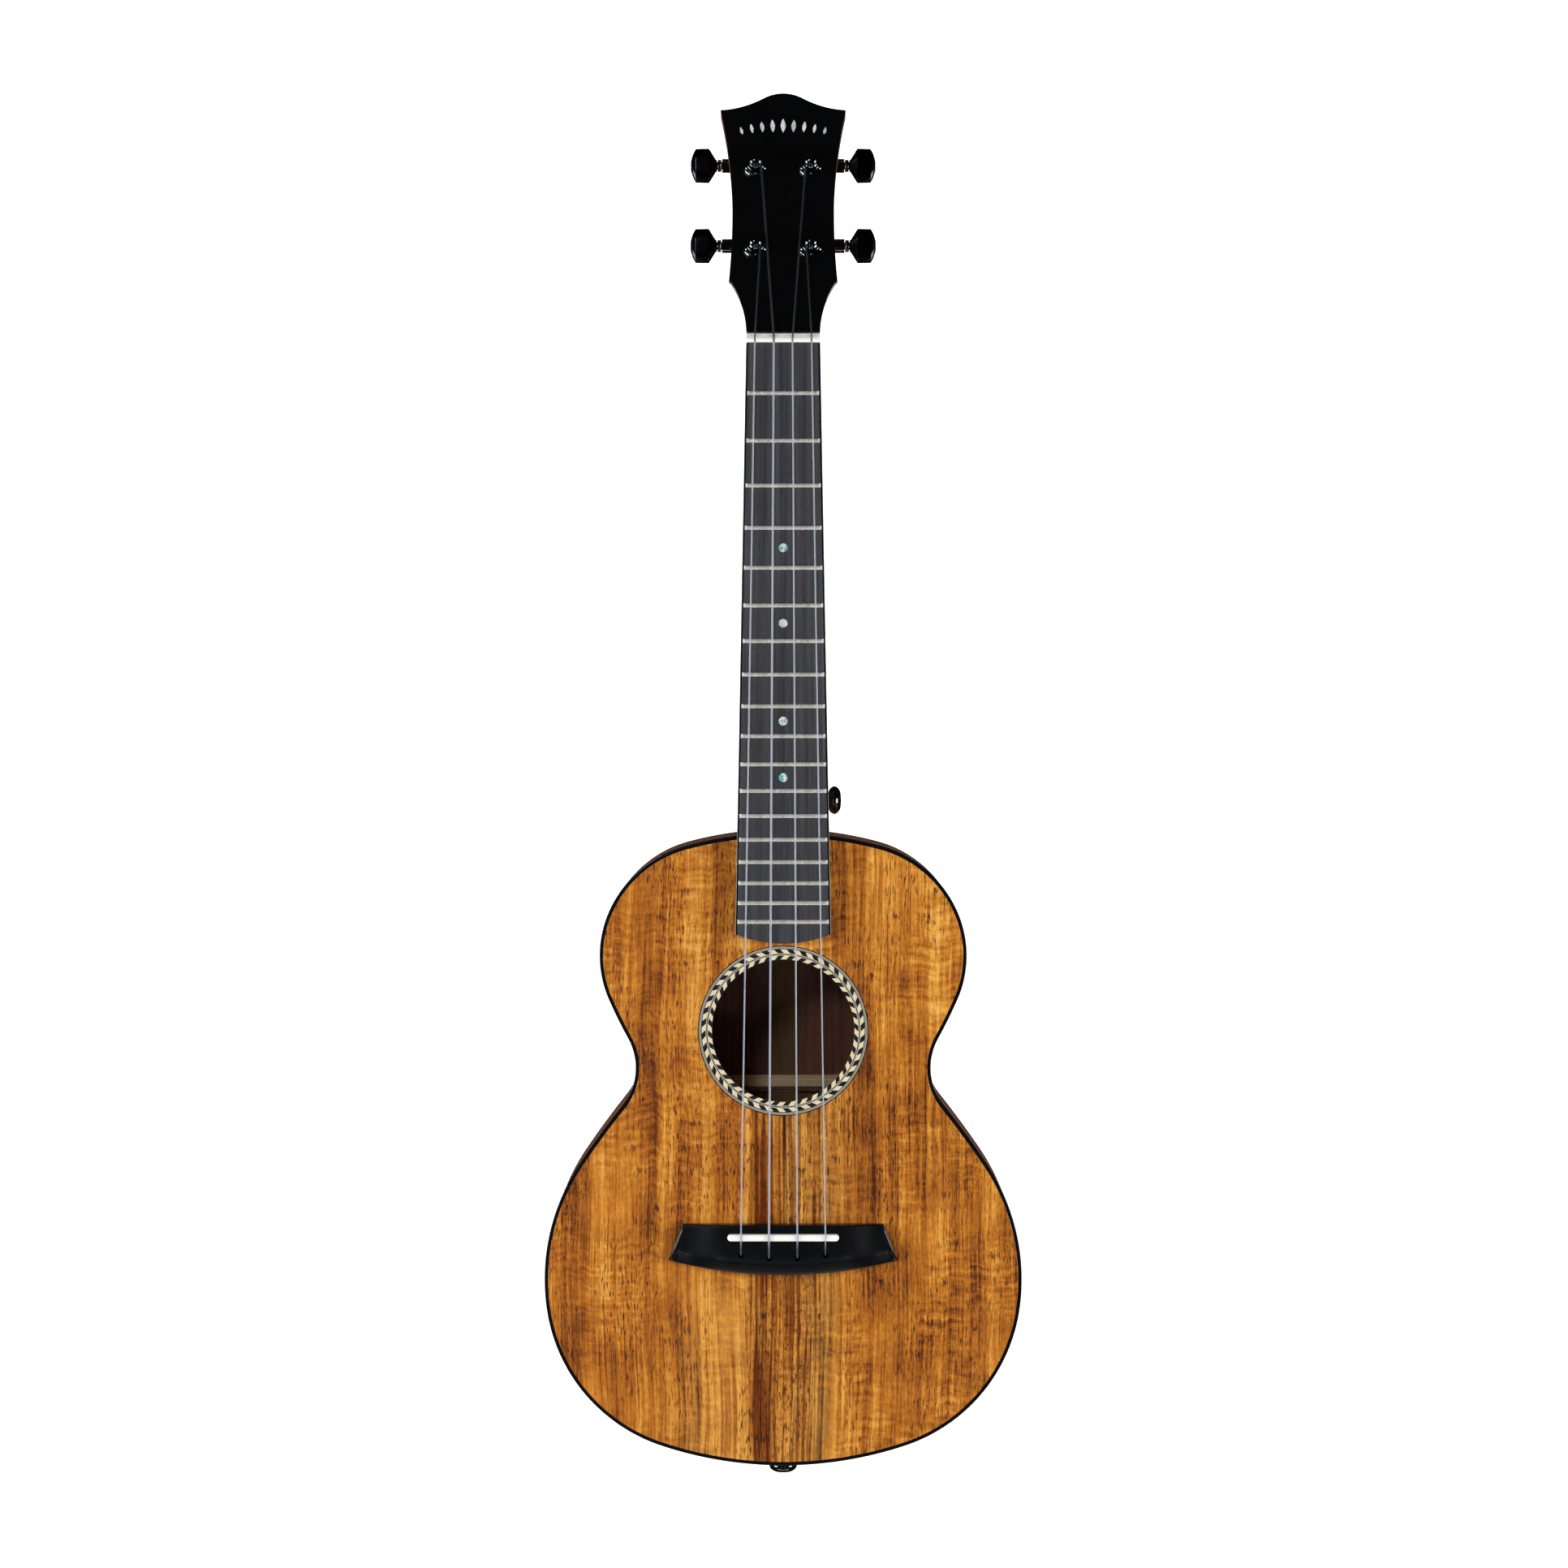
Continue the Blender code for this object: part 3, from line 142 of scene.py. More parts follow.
@dataclass(frozen=True)
class Outline:
    """A closed loop in a plane, with the outward normal at each point."""

    points: Array
    normals: Array

    def inset(self, distance: float | Array) -> Array:
        """The loop's points moved inwards by a distance."""
        return self.points - self.normals * distance

    def ring(self, distance: float | Array, height: float) -> Array:
        """The loop moved inwards and lifted."""
        return raised(self.inset(distance), height)

    @classmethod
    def through(cls, points: Array) -> "Outline":
        """An outline whose normal at each point is square to the chord between its neighbours.

        Args:
            points: the loop's points, anticlockwise.

        Returns:
            The outline.
        """
        chord = np.roll(points, -1, axis=0) - np.roll(points, 1, axis=0)
        normals = np.column_stack([chord[:, 1], -chord[:, 0]])
        return cls(points, normals / np.linalg.norm(normals, axis=1, keepdims=True))

    @classmethod
    def ellipse(cls, half_x: float, half_y: float, power: float = 2.0, count: int = 48) -> "Outline":
        """A superellipse: |x/a|^p + |y/b|^p = 1.

        Args:
            half_x: half its width, a.
            half_y: half its length, b.
            power: p; two for an ellipse, more for a rounded box, less for a pointed lens.
            count: how many points it has.

        Returns:
            The outline, anticlockwise.
        """
        angle = full_turn(count)
        cosine, sine = np.cos(angle), np.sin(angle)
        x = half_x * np.sign(cosine) * np.abs(cosine) ** (2 / power)
        y = half_y * np.sign(sine) * np.abs(sine) ** (2 / power)
        return cls.through(np.column_stack([x, y]))

    @classmethod
    def rounded_box(cls, low: Sequence[float], high: Sequence[float], radius: float) -> "Outline":
        """A rectangle with quarter circles at its corners.

        Args:
            low: its lowest corner.
            high: its highest corner.
            radius: the corners' radius.

        Returns:
            The outline, anticlockwise.
        """
        centres = ((high[0] - radius, high[1] - radius), (low[0] + radius, high[1] - radius),
                   (low[0] + radius, low[1] + radius), (high[0] - radius, low[1] + radius))
        angle = (np.linspace(0.0, np.pi / 2, 9) + np.arange(4)[:, None] * np.pi / 2).ravel()
        normals = np.column_stack([np.cos(angle), np.sin(angle)])
        return cls(np.repeat(centres, 9, axis=0) + radius * normals, normals)


def softened(route: Sequence[Sequence[float]], reach: float, steps: int = 6) -> Array:
    """A polyline whose inner corners each give way to a Bezier curve drawn towards the corner.

    Args:
        route: the polyline's points, in two or three dimensions.
        reach: how far from a corner its curve starts and ends, at most 0.45 of a neighbour.
        steps: how many points each curve has, less one.

    Returns:
        The rounded polyline's points.
    """
    points = np.array(route, float)
    share = np.linspace(0.0, 1.0, steps + 1)[:, None]
    rounded = [points[:1]]
    for before, corner, after in zip(points, points[1:], points[2:]):
        back, ahead = before - corner, after - corner
        lengths = np.linalg.norm(back), np.linalg.norm(ahead)
        cut = min(reach, 0.45 * lengths[0], 0.45 * lengths[1])
        start, end = corner + back * cut / lengths[0], corner + ahead * cut / lengths[1]
        rounded.append(bend(start, corner, end, share))
    return np.vstack(rounded + [points[-1:]])


# Surfaces


@dataclass
class Shell:
    """A surface under way: its points, blocks of faces, and a finish number for each face."""

    points: Array
    faces: list[Array]
    finishes: list[Array]

    @classmethod
    def grid(cls, points: Array, rows_meet: bool = False, columns_meet: bool = True) -> "Shell":
        """Join a grid of points into four-cornered faces of the first finish.

        Args:
            points: rows by columns by three coordinates.
            rows_meet: whether the last row joins the first.
            columns_meet: whether the last column joins the first.

        Returns:
            The surface.
        """
        rows, columns = points.shape[:2]
        index = np.arange(rows * columns).reshape(rows, columns)
        if rows_meet:
            index = np.vstack([index, index[:1]])
        if columns_meet:
            index = np.hstack([index, index[:, :1]])
        corners = (index[:-1, :-1], index[:-1, 1:], index[1:, 1:], index[1:, :-1])
        quads = np.stack(corners, axis=-1).reshape(-1, 4)
        return cls(points.reshape(-1, 3), [quads], [np.zeros(len(quads), int)])

    def capped(self, columns: int) -> "Shell":
        """Close both ends of a tube with a flat face each.

        Args:
            columns: how many points each of the tube's rings has.

        Returns:
            This surface.
        """
        last = np.arange(len(self.points) - columns, len(self.points))
        self.faces += [np.arange(columns)[None, ::-1], last[None, :]]
        self.finishes += [np.zeros(1, int)] * 2
        return self

    def placed(self, place: Place) -> "Shell":
        """The same surface moved from a local frame to the instrument's."""
        return Shell(place.put(self.points), self.faces, self.finishes)

    def __add__(self, other: "Shell") -> "Shell":
        """Both surfaces as one mesh."""
        faces = self.faces + [block + len(self.points) for block in other.faces]
        return Shell(np.vstack([self.points, other.points]), faces, self.finishes + other.finishes)


def stack(outline: Outline, layers: Sequence[tuple[float, float]]) -> Shell:
    """A solid of level rings: the outline, moved inwards and lifted by each layer's two numbers."""
    rings = np.stack([outline.ring(*layer) for layer in layers])
    return Shell.grid(rings).capped(rings.shape[1])


def rounded_layers(low: float, high: float, bottom: float, top: float, steps: int = 5) -> list:
    """Layers of a plate with quarter-round edges: inset r(1-cos a) at height r(1-sin a) from its face.

    Args:
        low: the plate's lowest height.
        high: its highest height.
        bottom: the lower edge's radius.
        top: the upper edge's radius.
        steps: how many steps each rounding has.

    Returns:
        Pairs of inset and height, from the bottom up.
    """
    angle = np.linspace(0.0, np.pi / 2, steps + 1)
    sine, cosine = 1 - np.sin(angle), 1 - np.cos(angle)
    below, above = zip(bottom * sine, low + bottom * cosine), zip(top * cosine, high - top * sine)
    return [(bottom + HEM, low), *below, *above, (top + HEM, high)]


def plate(outline: Outline, low: float, high: float, bottom: float = 0.2, top: float = 0.3) -> Shell:
    """A flat plate with rounded edges."""
    return stack(outline, rounded_layers(low, high, bottom, top))


def turned(profile: Sequence[Sequence[float]], soft: float = 0.0, sides: int = 48) -> Shell:
    """A solid turned about the out direction from (radius, height) points, with softened corners."""
    line = softened(profile, soft) if soft else np.array(profile, float)
    return Shell.grid(about_axis(line[:, :1], full_turn(sides), line[:, 1:])).capped(sides)


def tube(path: Array, radius: float | Array, reference: Sequence[float], sides: int = 14) -> Shell:
    """A circle carried along a path: its axes are tangent x reference, and that x tangent.

    Args:
        path: the points that the tube's centre follows.
        radius: one radius, or one for each point.
        reference: a direction that the path never runs along.
        sides: how many points each circle has.

    Returns:
        The closed surface, with slightly domed ends.
    """
    tangent = np.gradient(path, axis=0)
    tangent /= np.linalg.norm(tangent, axis=1, keepdims=True)
    side = np.cross(tangent, np.array(reference, float))
    side /= np.linalg.norm(side, axis=1, keepdims=True)
    up = np.cross(side, tangent)
    size = np.broadcast_to(np.asarray(radius, float), len(path))
    dome = tangent[[0, -1]] * size[[0, -1], None] * np.array([[-0.5], [0.5]])
    centre = np.vstack([path[:1] + dome[:1], path, path[-1:] + dome[1:]])
    side, up = side[[0, *range(len(path)), -1]], up[[0, *range(len(path)), -1]]
    size = np.concatenate([size[:1] * 0.5, size, size[-1:] * 0.5])[:, None, None]
    angle = full_turn(sides)[None, :, None]
    rings = centre[:, None] + size * (np.cos(angle) * side[:, None] + np.sin(angle) * up[:, None])
    return Shell.grid(rings).capped(sides)


def along_outline(outline: Outline, section: Sequence[Sequence[float]]) -> Shell:
    """A closed ring: a closed section of (inset, height) points carried round a closed outline."""
    return Shell.grid(np.stack([outline.ring(*point) for point in section]), rows_meet=True)


def block(low: Sequence[float], high: Sequence[float], soft: float = 0.2) -> Shell:
    """A block with softened edges, between two corners."""
    return plate(Outline.rounded_box(low[:2], high[:2], soft), low[2], high[2], soft, soft)


# Pieces


def show(name: str, content: bpy.types.ID) -> bpy.types.Object:
    """Put a new object in the scene.

    Args:
        name: its name.
        content: its mesh, light or camera.

    Returns:
        The object.
    """
    shown = bpy.data.objects.new(name, content)
    bpy.context.scene.collection.objects.link(shown)
    return shown


def build_mesh(name: str, shell: Shell, sharp: float) -> bpy.types.Mesh:
    """Turn a surface into a mesh in metres, with its faces pointing out.

    Args:
        name: the mesh's name.
        shell: the surface, in millimetres.
        sharp: the angle in degrees past which an edge is sharp.

    Returns:
        The mesh.
    """
    mesh = bpy.data.meshes.new(name)
    faces = [face for faces_block in shell.faces for face in faces_block.tolist()]
    mesh.from_pydata((shell.points * MM).tolist(), [], faces)
    mesh.polygons.foreach_set("material_index", np.concatenate(shell.finishes).astype(np.int32))
    editing = bmesh.new()
    editing.from_mesh(mesh)
    bmesh.ops.recalc_face_normals(editing, faces=editing.faces)
    editing.to_mesh(mesh)
    editing.free()
    mesh.shade_smooth()
    mesh.set_sharp_from_angle(angle=math.radians(sharp))
    return mesh


class Cut(Enum):
    """What a tool does to a piece."""

    AWAY = "DIFFERENCE"
    ON = "UNION"


def worked(mesh: bpy.types.Mesh, tools: Sequence[tuple[Cut, Shell]], sharp: float) -> bpy.types.Mesh:
    """Cut shapes out of a mesh, or join them on.

    Args:
        mesh: the closed mesh to work on.
        tools: what each tool does, and its closed surface.
        sharp: the angle in degrees past which an edge is sharp.

    Returns:
        The finished mesh; the first one is removed.
    """
    holder = show("bench", mesh)
    helpers = []
    for cut, shell in tools:
        helpers.append(show("tool", build_mesh("tool", shell, sharp)))
        modifier = holder.modifiers.new("work", "BOOLEAN")
        modifier.operation = cut.value
        modifier.solver = "MANIFOLD"
        modifier.object = helpers[-1]
    bpy.context.view_layer.update()
    finished = bpy.data.meshes.new_from_object(holder.evaluated_get(bpy.context.evaluated_depsgraph_get()))
    finished.name = mesh.name
    for item in [holder, *helpers]:
        bpy.data.objects.remove(item)
    finished.shade_smooth()
    finished.set_sharp_from_angle(angle=math.radians(sharp))
    return finished


@dataclass(frozen=True)
class Job:
    """How a finished surface joins the instrument: its body and the CAD nodes it stands for; it also holds a
    slot name.
    """

    name: str
    slot: str
    replaces: tuple[str, ...] = ()
    body: str = "root"
    sharp: float = 32.0
    tools: tuple[tuple[Cut, Shell], ...] = ()


def make_piece(job: Job, shell: Shell, *finishes: "Finish") -> bpy.types.Object:
    """Make a piece of the instrument from a surface.

    Args:
        job: the piece's name, body, replaced nodes and tools.
        shell: its surface.
        finishes: its finishes, in the order of the surface's finish numbers.

    Returns:
        The piece.
    """
    mesh = build_mesh(job.name, shell, job.sharp)
    if job.tools:
        mesh = worked(mesh, job.tools, job.sharp)
        mesh.materials.clear()
    for finish in finishes:
        mesh.materials.append(finish.material())
    piece = show(job.name, mesh)
    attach(piece, job.body)
    if job.replaces:
        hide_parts(*job.replaces)
    log.info("%s: %d faces on %s", job.name, len(mesh.polygons), job.body)
    return piece


def dress(node: str, finish: "Finish") -> None:
    """Give a CAD node that stays a better material."""
    frame["nodes"][node].material_slots[0].material = finish.material()
    log.info("%s: keeps its CAD shape", node)


# Shader maths


class Value:
    """A shader socket that takes part in Python expressions; each operator adds its Math node."""

    def __init__(self, recipe: "Recipe", socket: bpy.types.NodeSocket) -> None:
        """Wrap a socket of a recipe's material."""
        self.recipe = recipe
        self.socket = socket

    def _math(self, operation: str, first: "Value | float", second: "Value | float" = 0.0) -> "Value":
        """Add a Math node on two values."""
        node = self.recipe.node("ShaderNodeMath", {"operation": operation}, {0: first, 1: second})
        return Value(self.recipe, node.outputs[0])

    def __add__(self, other: "Value | float") -> "Value":
        """This value plus another."""
        return self._math("ADD", self, other)

    __radd__ = __add__

    def __sub__(self, other: "Value | float") -> "Value":
        """This value less another."""
        return self._math("SUBTRACT", self, other)

    def __rsub__(self, other: float) -> "Value":
        """A number less this value."""
        return self._math("SUBTRACT", other, self)

    def __mul__(self, other: "Value | float") -> "Value":
        """This value times another."""
        return self._math("MULTIPLY", self, other)

    __rmul__ = __mul__

    def __gt__(self, other: "Value | float") -> "Value":
        """One where this value is the greater, and zero elsewhere."""
        return self._math("GREATER_THAN", self, other)

    def size(self) -> "Value":
        """This value without its sign."""
        return self._math("ABSOLUTE", self)

    def sine(self) -> "Value":
        """The sine of this value."""
        return self._math("SINE", self)

    def least(self, other: "Value | float") -> "Value":
        """The lesser of this value and another."""
        return self._math("MINIMUM", self, other)

    def between(self, low: float, high: float) -> "Value":
        """A smooth step of this value.

        Args:
            low: where the step is 0.
            high: where it is 1; it may lie below.

        Returns:
            The step.
        """
        rising = float(high > low)
        inputs = {0: self, 1: min(low, high), 2: max(low, high), 3: 1.0 - rising, 4: rising}
        node = self.recipe.node("ShaderNodeMapRange", {"interpolation_type": "SMOOTHSTEP"}, inputs)
        return Value(self.recipe, node.outputs[0])


class Recipe:
    """One material under way: adds nodes to it and joins their sockets."""

    def __init__(self, name: str) -> None:
        """Start a material with a Principled shader.

        Args:
            name: the material's name.
        """
        self.material = bpy.data.materials.new(name)
        self.material.use_nodes = True
        self.nodes = self.material.node_tree.nodes
        self.links = self.material.node_tree.links
        self.shader = self.nodes["Principled BSDF"]

    def node(self, kind: str, settings: dict | None = None, inputs: dict | None = None) -> bpy.types.Node:
        """Add a node.

        Args:
            kind: the node's type.
            settings: its properties; "stops" gives a ramp's places and colours.
            inputs: what each of its sockets gets, by name or number.

        Returns:
            The node.
        """
        node = self.nodes.new(kind)
        for name, setting in (settings or {}).items():
            if name == "stops":
                elements = node.color_ramp.elements
                while len(elements) < len(setting):
                    elements.new(0.5)
                for element, (place, colour) in zip(elements, setting):
                    element.position = place
                    element.color = (*colour, 1.0)
            else:
                setattr(node, name, setting)
        for name, value in (inputs or {}).items():
            self.feed(node.inputs[name], value)
        return node

    def feed(self, socket: bpy.types.NodeSocket, value: object) -> None:
        """Give a socket a link or a constant.

        Args:
            socket: the socket to feed.
            value: a value, another socket, or a constant; a colour gets its alpha here.
        """
        if isinstance(value, Value):
            self.links.new(value.socket, socket)
        elif isinstance(value, bpy.types.NodeSocket):
            self.links.new(value, socket)
        elif socket.type == "RGBA":
            socket.default_value = (*value, 1.0)
        else:
            socket.default_value = value

    def place(self) -> bpy.types.NodeSocket:
        """Object coordinates in millimetres."""
        coordinates = self.node("ShaderNodeTexCoord").outputs["Object"]
        return self.stretched(coordinates, 1 / MM)

    def stretched(self, vector: object, scale: float | Sequence[float]) -> bpy.types.NodeSocket:
        """A vector times one scale, or one for each direction."""
        inputs = {0: vector, 1: np.broadcast_to(scale, 3)}
        return self.node("ShaderNodeVectorMath", {"operation": "MULTIPLY"}, inputs).outputs[0]

    def parts(self, vector: bpy.types.NodeSocket) -> tuple[Value, Value, Value]:
        """A vector's three coordinates as values."""
        node = self.node("ShaderNodeSeparateXYZ", inputs={0: vector})
        return tuple(Value(self, output) for output in node.outputs)

    def joined(self, x: object, y: object, z: object) -> bpy.types.NodeSocket:
        """A vector of three values."""
        return self.node("ShaderNodeCombineXYZ", inputs={0: x, 1: y, 2: z}).outputs[0]

    def noise(self, vector: object, scale: float | Sequence[float], detail: float = 2.0,
              rough: float = 0.5) -> Value:
        """Soft random values from 0 to 1, whose features measure about one over the scale."""
        inputs = {"Vector": self.stretched(vector, scale), "Scale": 1.0, "Detail": detail, "Roughness": rough}
        return Value(self, self.node("ShaderNodeTexNoise", inputs=inputs).outputs[0])

    def ramp(self, value: Value, stops: Sequence[tuple[float, Colour]]) -> bpy.types.NodeSocket:
        """A colour for each value, through stops."""
        return self.node("ShaderNodeValToRGB", {"stops": stops}, {0: value}).outputs[0]

    def mix(self, share: object, first: object, second: object, blend: str = "MIX") -> bpy.types.NodeSocket:
        """A blend of two colours."""
        settings = {"data_type": "RGBA", "blend_type": blend}
        return self.node("ShaderNodeMix", settings, {0: share, 6: first, 7: second}).outputs[2]

    def relief(self, height: Value, depth: float) -> None:
        """Let a height raise the surface.

        Args:
            height: the height, from 0 to 1.
            depth: what a height of 1 stands for, in millimetres.
        """
        inputs = {"Height": height, "Distance": depth * MM, "Strength": 1.0}
        bump = self.node("ShaderNodeBump", inputs=inputs)
        self.links.new(bump.outputs[0], self.shader.inputs["Normal"])

    def done(self, **sockets: object) -> bpy.types.Material:
        """Feed the shader's own sockets.

        Args:
            sockets: what each socket gets; underscores stand for the spaces of its name.

        Returns:
            The finished material.
        """
        for name, value in sockets.items():
            self.feed(self.shader.inputs[name.replace("_", " ")], value)
        return self.material


# Finishes


class Finish:
    """A surface finish, made into a material once."""

    def material(self) -> bpy.types.Material:
        """The finish's material, made on first use."""
        name = "_".join([type(self).__name__, *(str(value) for value in vars(self).values())])[:60]
        return bpy.data.materials.get(name) or self.mixed(Recipe(name))

    def mixed(self, recipe: Recipe) -> bpy.types.Material:
        """Make the material with a recipe."""
        raise NotImplementedError


@dataclass(frozen=True)
class FiguredTop(Finish):
    """Gloss-lacquered curly acacia: two matched halves, dark heart streaks by the seam, pores and curl."""

    umber: Colour = (0.070, 0.018, 0.006)
    russet: Colour = (0.300, 0.088, 0.012)
    amber: Colour = (0.47, 0.156, 0.017)
    honey: Colour = (0.65, 0.268, 0.038)
    straw: Colour = (0.83, 0.435, 0.090)

    def mixed(self, recipe: Recipe) -> bpy.types.Material:
        """Layer grain lines, cross curl, heart streaks and pores, each a noise stretched along the grain.

        Args:
            recipe: the material under way.

        Returns:
            The material.
        """
        x, y, _ = recipe.parts(recipe.place())
        treble = x > 0.0
        wander = recipe.noise(recipe.joined(0.0, y, treble * 9.0), (1, 0.011, 1), 1.0) - 0.5
        grain_x = x.size() + wander * 9.0 + treble * 2.0
        grain = recipe.joined(grain_x, y, treble * 31.0)

        bands = recipe.noise(grain, (0.075, 0.0035, 1.0), 2.0, 0.55)
        lines = recipe.noise(grain, (0.50, 0.0080, 1.0), 3.0, 0.66)
        fibre = recipe.noise(grain, (1.5, 0.040, 1.0), 2.0, 0.6)
        fleck = recipe.noise(grain, (0.75, 0.36, 1.0), 3.0, 0.75)
        mottle = recipe.noise(grain, (0.045, 0.035, 1.0), 3.0, 0.55)
        curl_place = recipe.joined(x * 0.075, y + wander * 8.0 + bands * 10.0, treble * 5.0)
        curl = recipe.noise(curl_place, (1.0, 0.36, 1.0), 2.0, 0.55)
        curl_here = recipe.noise(grain, (0.030, 0.016, 1.0), 1.0).between(0.38, 0.58)
        tone = (0.47 + (bands - 0.5) * 1.25 + (lines - 0.5) * 1.15 + (fibre - 0.5) * 0.70
                + (mottle - 0.5) * 0.70 + (curl - 0.5) * curl_here * 0.85 + (fleck - 0.5) * 0.60)
        upper = y.between(-170.0, -60.0)
        tone = tone + treble * (upper * 0.13 - 0.03) - (1.0 - treble) * x.size().between(30.0, 100.0) * 0.06
        wood = recipe.ramp(tone, ((0.08, self.umber), (0.30, self.russet), (0.50, self.amber),
                                  (0.70, self.honey), (0.94, self.straw)))
        wood = recipe.mix((1.0 - treble) * 0.15, wood, (0.40, 0.110, 0.014))

        below_hole = y.between(-112.0, -150.0)
        near_seam = x.size().between(26.0, 6.0)
        heart = recipe.noise(recipe.joined(x + wander * 7.0, y, 0.0), (0.36, 0.0050, 1.0), 3.0, 0.62)
        pale = recipe.noise(recipe.joined(x, y, 7.0), (0.12, 0.009, 1.0), 2.0).between(0.50, 0.66)
        left_gold = (x + 28.0 + wander * 12.0).size().between(30.0, 4.0) * y.between(-215.0, -265.0)
        right_gold = (x - 16.0 + wander * 8.0).size().between(22.0, 4.0) * below_hole
        gold = pale * near_seam * below_hole * 0.7 + left_gold * mottle * 1.3 + right_gold * mottle
        wood = recipe.mix(gold.least(1.0) * (lines * 2.2 - 0.55).between(0.0, 1.0) * 0.75, wood, self.straw)
        band = (x + 10.0 + wander * 10.0).size().between(7.0, 2.0)
        fade = recipe.noise(recipe.joined(x * 0.02, y, 3.0), (1.0, 0.018, 1.0), 2.0).between(0.30, 0.55)
        dark = (heart + near_seam * 0.17).between(0.60, 0.74) * near_seam.between(0.0, 0.35)
        dark = (dark * 0.85 + band * fade * (0.45 + lines * 0.7)) * below_hole
        wood = recipe.mix(dark.least(1.0), wood, (0.28, 0.15, 0.10), "MULTIPLY")
        thin = recipe.noise(grain, (0.95, 0.0085, 3.0), 2.0, 0.55).between(0.63, 0.72)
        wood = recipe.mix(thin * 0.75, wood, (0.30, 0.19, 0.14), "MULTIPLY")

        speck = recipe.noise(grain, (1.35, 0.17, 1.0), 1.0, 0.5).between(0.575, 0.645)
        pore_field = recipe.noise(grain, (0.05, 0.014, 7.0), 2.0).between(0.38, 0.60) * 0.8 + 0.2
        short = recipe.noise(recipe.joined(x, y, 11.0), (1.05, 0.28, 1.0), 2.0, 0.7).between(0.56, 0.64)
        pore = (speck * pore_field + short * near_seam * below_hole * 0.8).least(1.0)
        wood = recipe.mix(pore * 0.95, wood, (0.16, 0.10, 0.08), "MULTIPLY")
        seam = x.size().between(0.25, 0.05)
        wood = recipe.mix(seam * 0.5, wood, self.umber)
        recipe.relief(fibre * 0.4 + (1.0 - pore) * 0.6, 0.02)
        return recipe.done(Base_Color=wood, Roughness=0.30 + pore * 0.25 - curl * 0.06,
                           Coat_Weight=0.22, Coat_Roughness=0.10, Specular_IOR_Level=0.3)


class Grain(Enum):
    """Which way the fibres of a plain wood run."""

    LENGTHWISE = (1.0, 0.03, 1.0)
    CROSSWISE = (0.03, 1.0, 1.0)
    ROUND = (0.045, 0.045, 1.0)


@dataclass(frozen=True)
class PlainWood(Finish):
    """Straight-grained wood: growth lines, fibres and open pores along one direction."""

    label: str
    light: Colour
    dark: Colour
    grain: Grain = Grain.LENGTHWISE
    pores: float = 0.5
    roughness: float = 0.42
    coat: float = 0.2
    line: float = 0.5  # growth lines to the millimetre

    def mixed(self, recipe: Recipe) -> bpy.types.Material:
        """Stretch three noises along the fibres, and darken the pores.

        Args:
            recipe: the material under way.

        Returns:
            The material.
        """
        place = recipe.place()
        run = np.array(self.grain.value)
        broad = recipe.noise(place, run * 0.09, 2.0)
        lines = recipe.noise(place, run * self.line, 3.0, 0.6)
        fibre = recipe.noise(place, run * 2.6, 2.0, 0.6)
        tone = 0.5 + (broad - 0.5) * 0.9 + (lines - 0.5) * 0.9 + (fibre - 0.5) * 0.5
        wood = recipe.mix(tone.between(0.05, 0.95), self.dark, self.light)
        pore = recipe.noise(place, np.maximum(run, 0.11) * 2.6, 1.0).between(0.62, 0.72)
        shade = tuple(0.35 * channel for channel in self.dark)
        wood = recipe.mix(pore * self.pores, wood, shade)
        recipe.relief(fibre * 0.5 + (1.0 - pore) * 0.5, 0.025)
        return recipe.done(Base_Color=wood, Roughness=self.roughness + pore * 0.2 + (lines - 0.5) * 0.1,
                           Coat_Weight=self.coat, Coat_Roughness=0.15)


@dataclass(frozen=True)
class BoardWood(Finish):
    """The fingerboard's charcoal-grey wood, with faint dark streaks and dry polish under the fingers."""

    def mixed(self, recipe: Recipe) -> bpy.types.Material:
        """Streaks and pores along the board, with a worn sheen that varies over each fret space.

        Args:
            recipe: the material under way.

        Returns:
            The material.
        """
        place = recipe.place()
        streak = recipe.noise(place, (0.55, 0.012, 0.5), 3.0, 0.6)
        fibre = recipe.noise(place, (3.0, 0.05, 1.0), 2.0, 0.6)
        pore = recipe.noise(place, (3.2, 0.35, 1.0), 1.0).between(0.62, 0.72)
        tone = (0.5 + (streak - 0.5) * 1.3 + (fibre - 0.5) * 0.7).between(0.1, 0.9)
        wood = recipe.mix(tone, (0.024, 0.0240, 0.0278), (0.056, 0.056, 0.063))
        wood = recipe.mix(pore * 0.5, wood, (0.008, 0.008, 0.009))
        wear = recipe.noise(place, (0.12, 0.05, 1.0), 2.0)
        recipe.relief(fibre * 0.4 + (1.0 - pore) * 0.6, 0.02)
        return recipe.done(Base_Color=wood, Roughness=0.62 - wear * 0.22 + pore * 0.2,
                           Specular_IOR_Level=0.30)


@dataclass(frozen=True)
class BlackSatin(Finish):
    """The bridge's black wood, rubbed to a satin: faint lengthwise brushing and closed pores."""

    def mixed(self, recipe: Recipe) -> bpy.types.Material:
        """Fine scratches along the bridge and a soft mottle in the sheen.

        Args:
            recipe: the material under way.

        Returns:
            The material.
        """
        place = recipe.place()
        brushing = recipe.noise(place, (0.08, 2.2, 1.0), 2.0, 0.6)
        mottle = recipe.noise(place, 0.15, 3.0)
        wood = recipe.mix(brushing, (0.0008, 0.0009, 0.0013), (0.0020, 0.0022, 0.0032))
        recipe.relief(brushing, 0.002)
        return recipe.done(Base_Color=wood, Roughness=0.25 + mottle * 0.10 + brushing * 0.05,
                           Specular_IOR_Level=0.24)


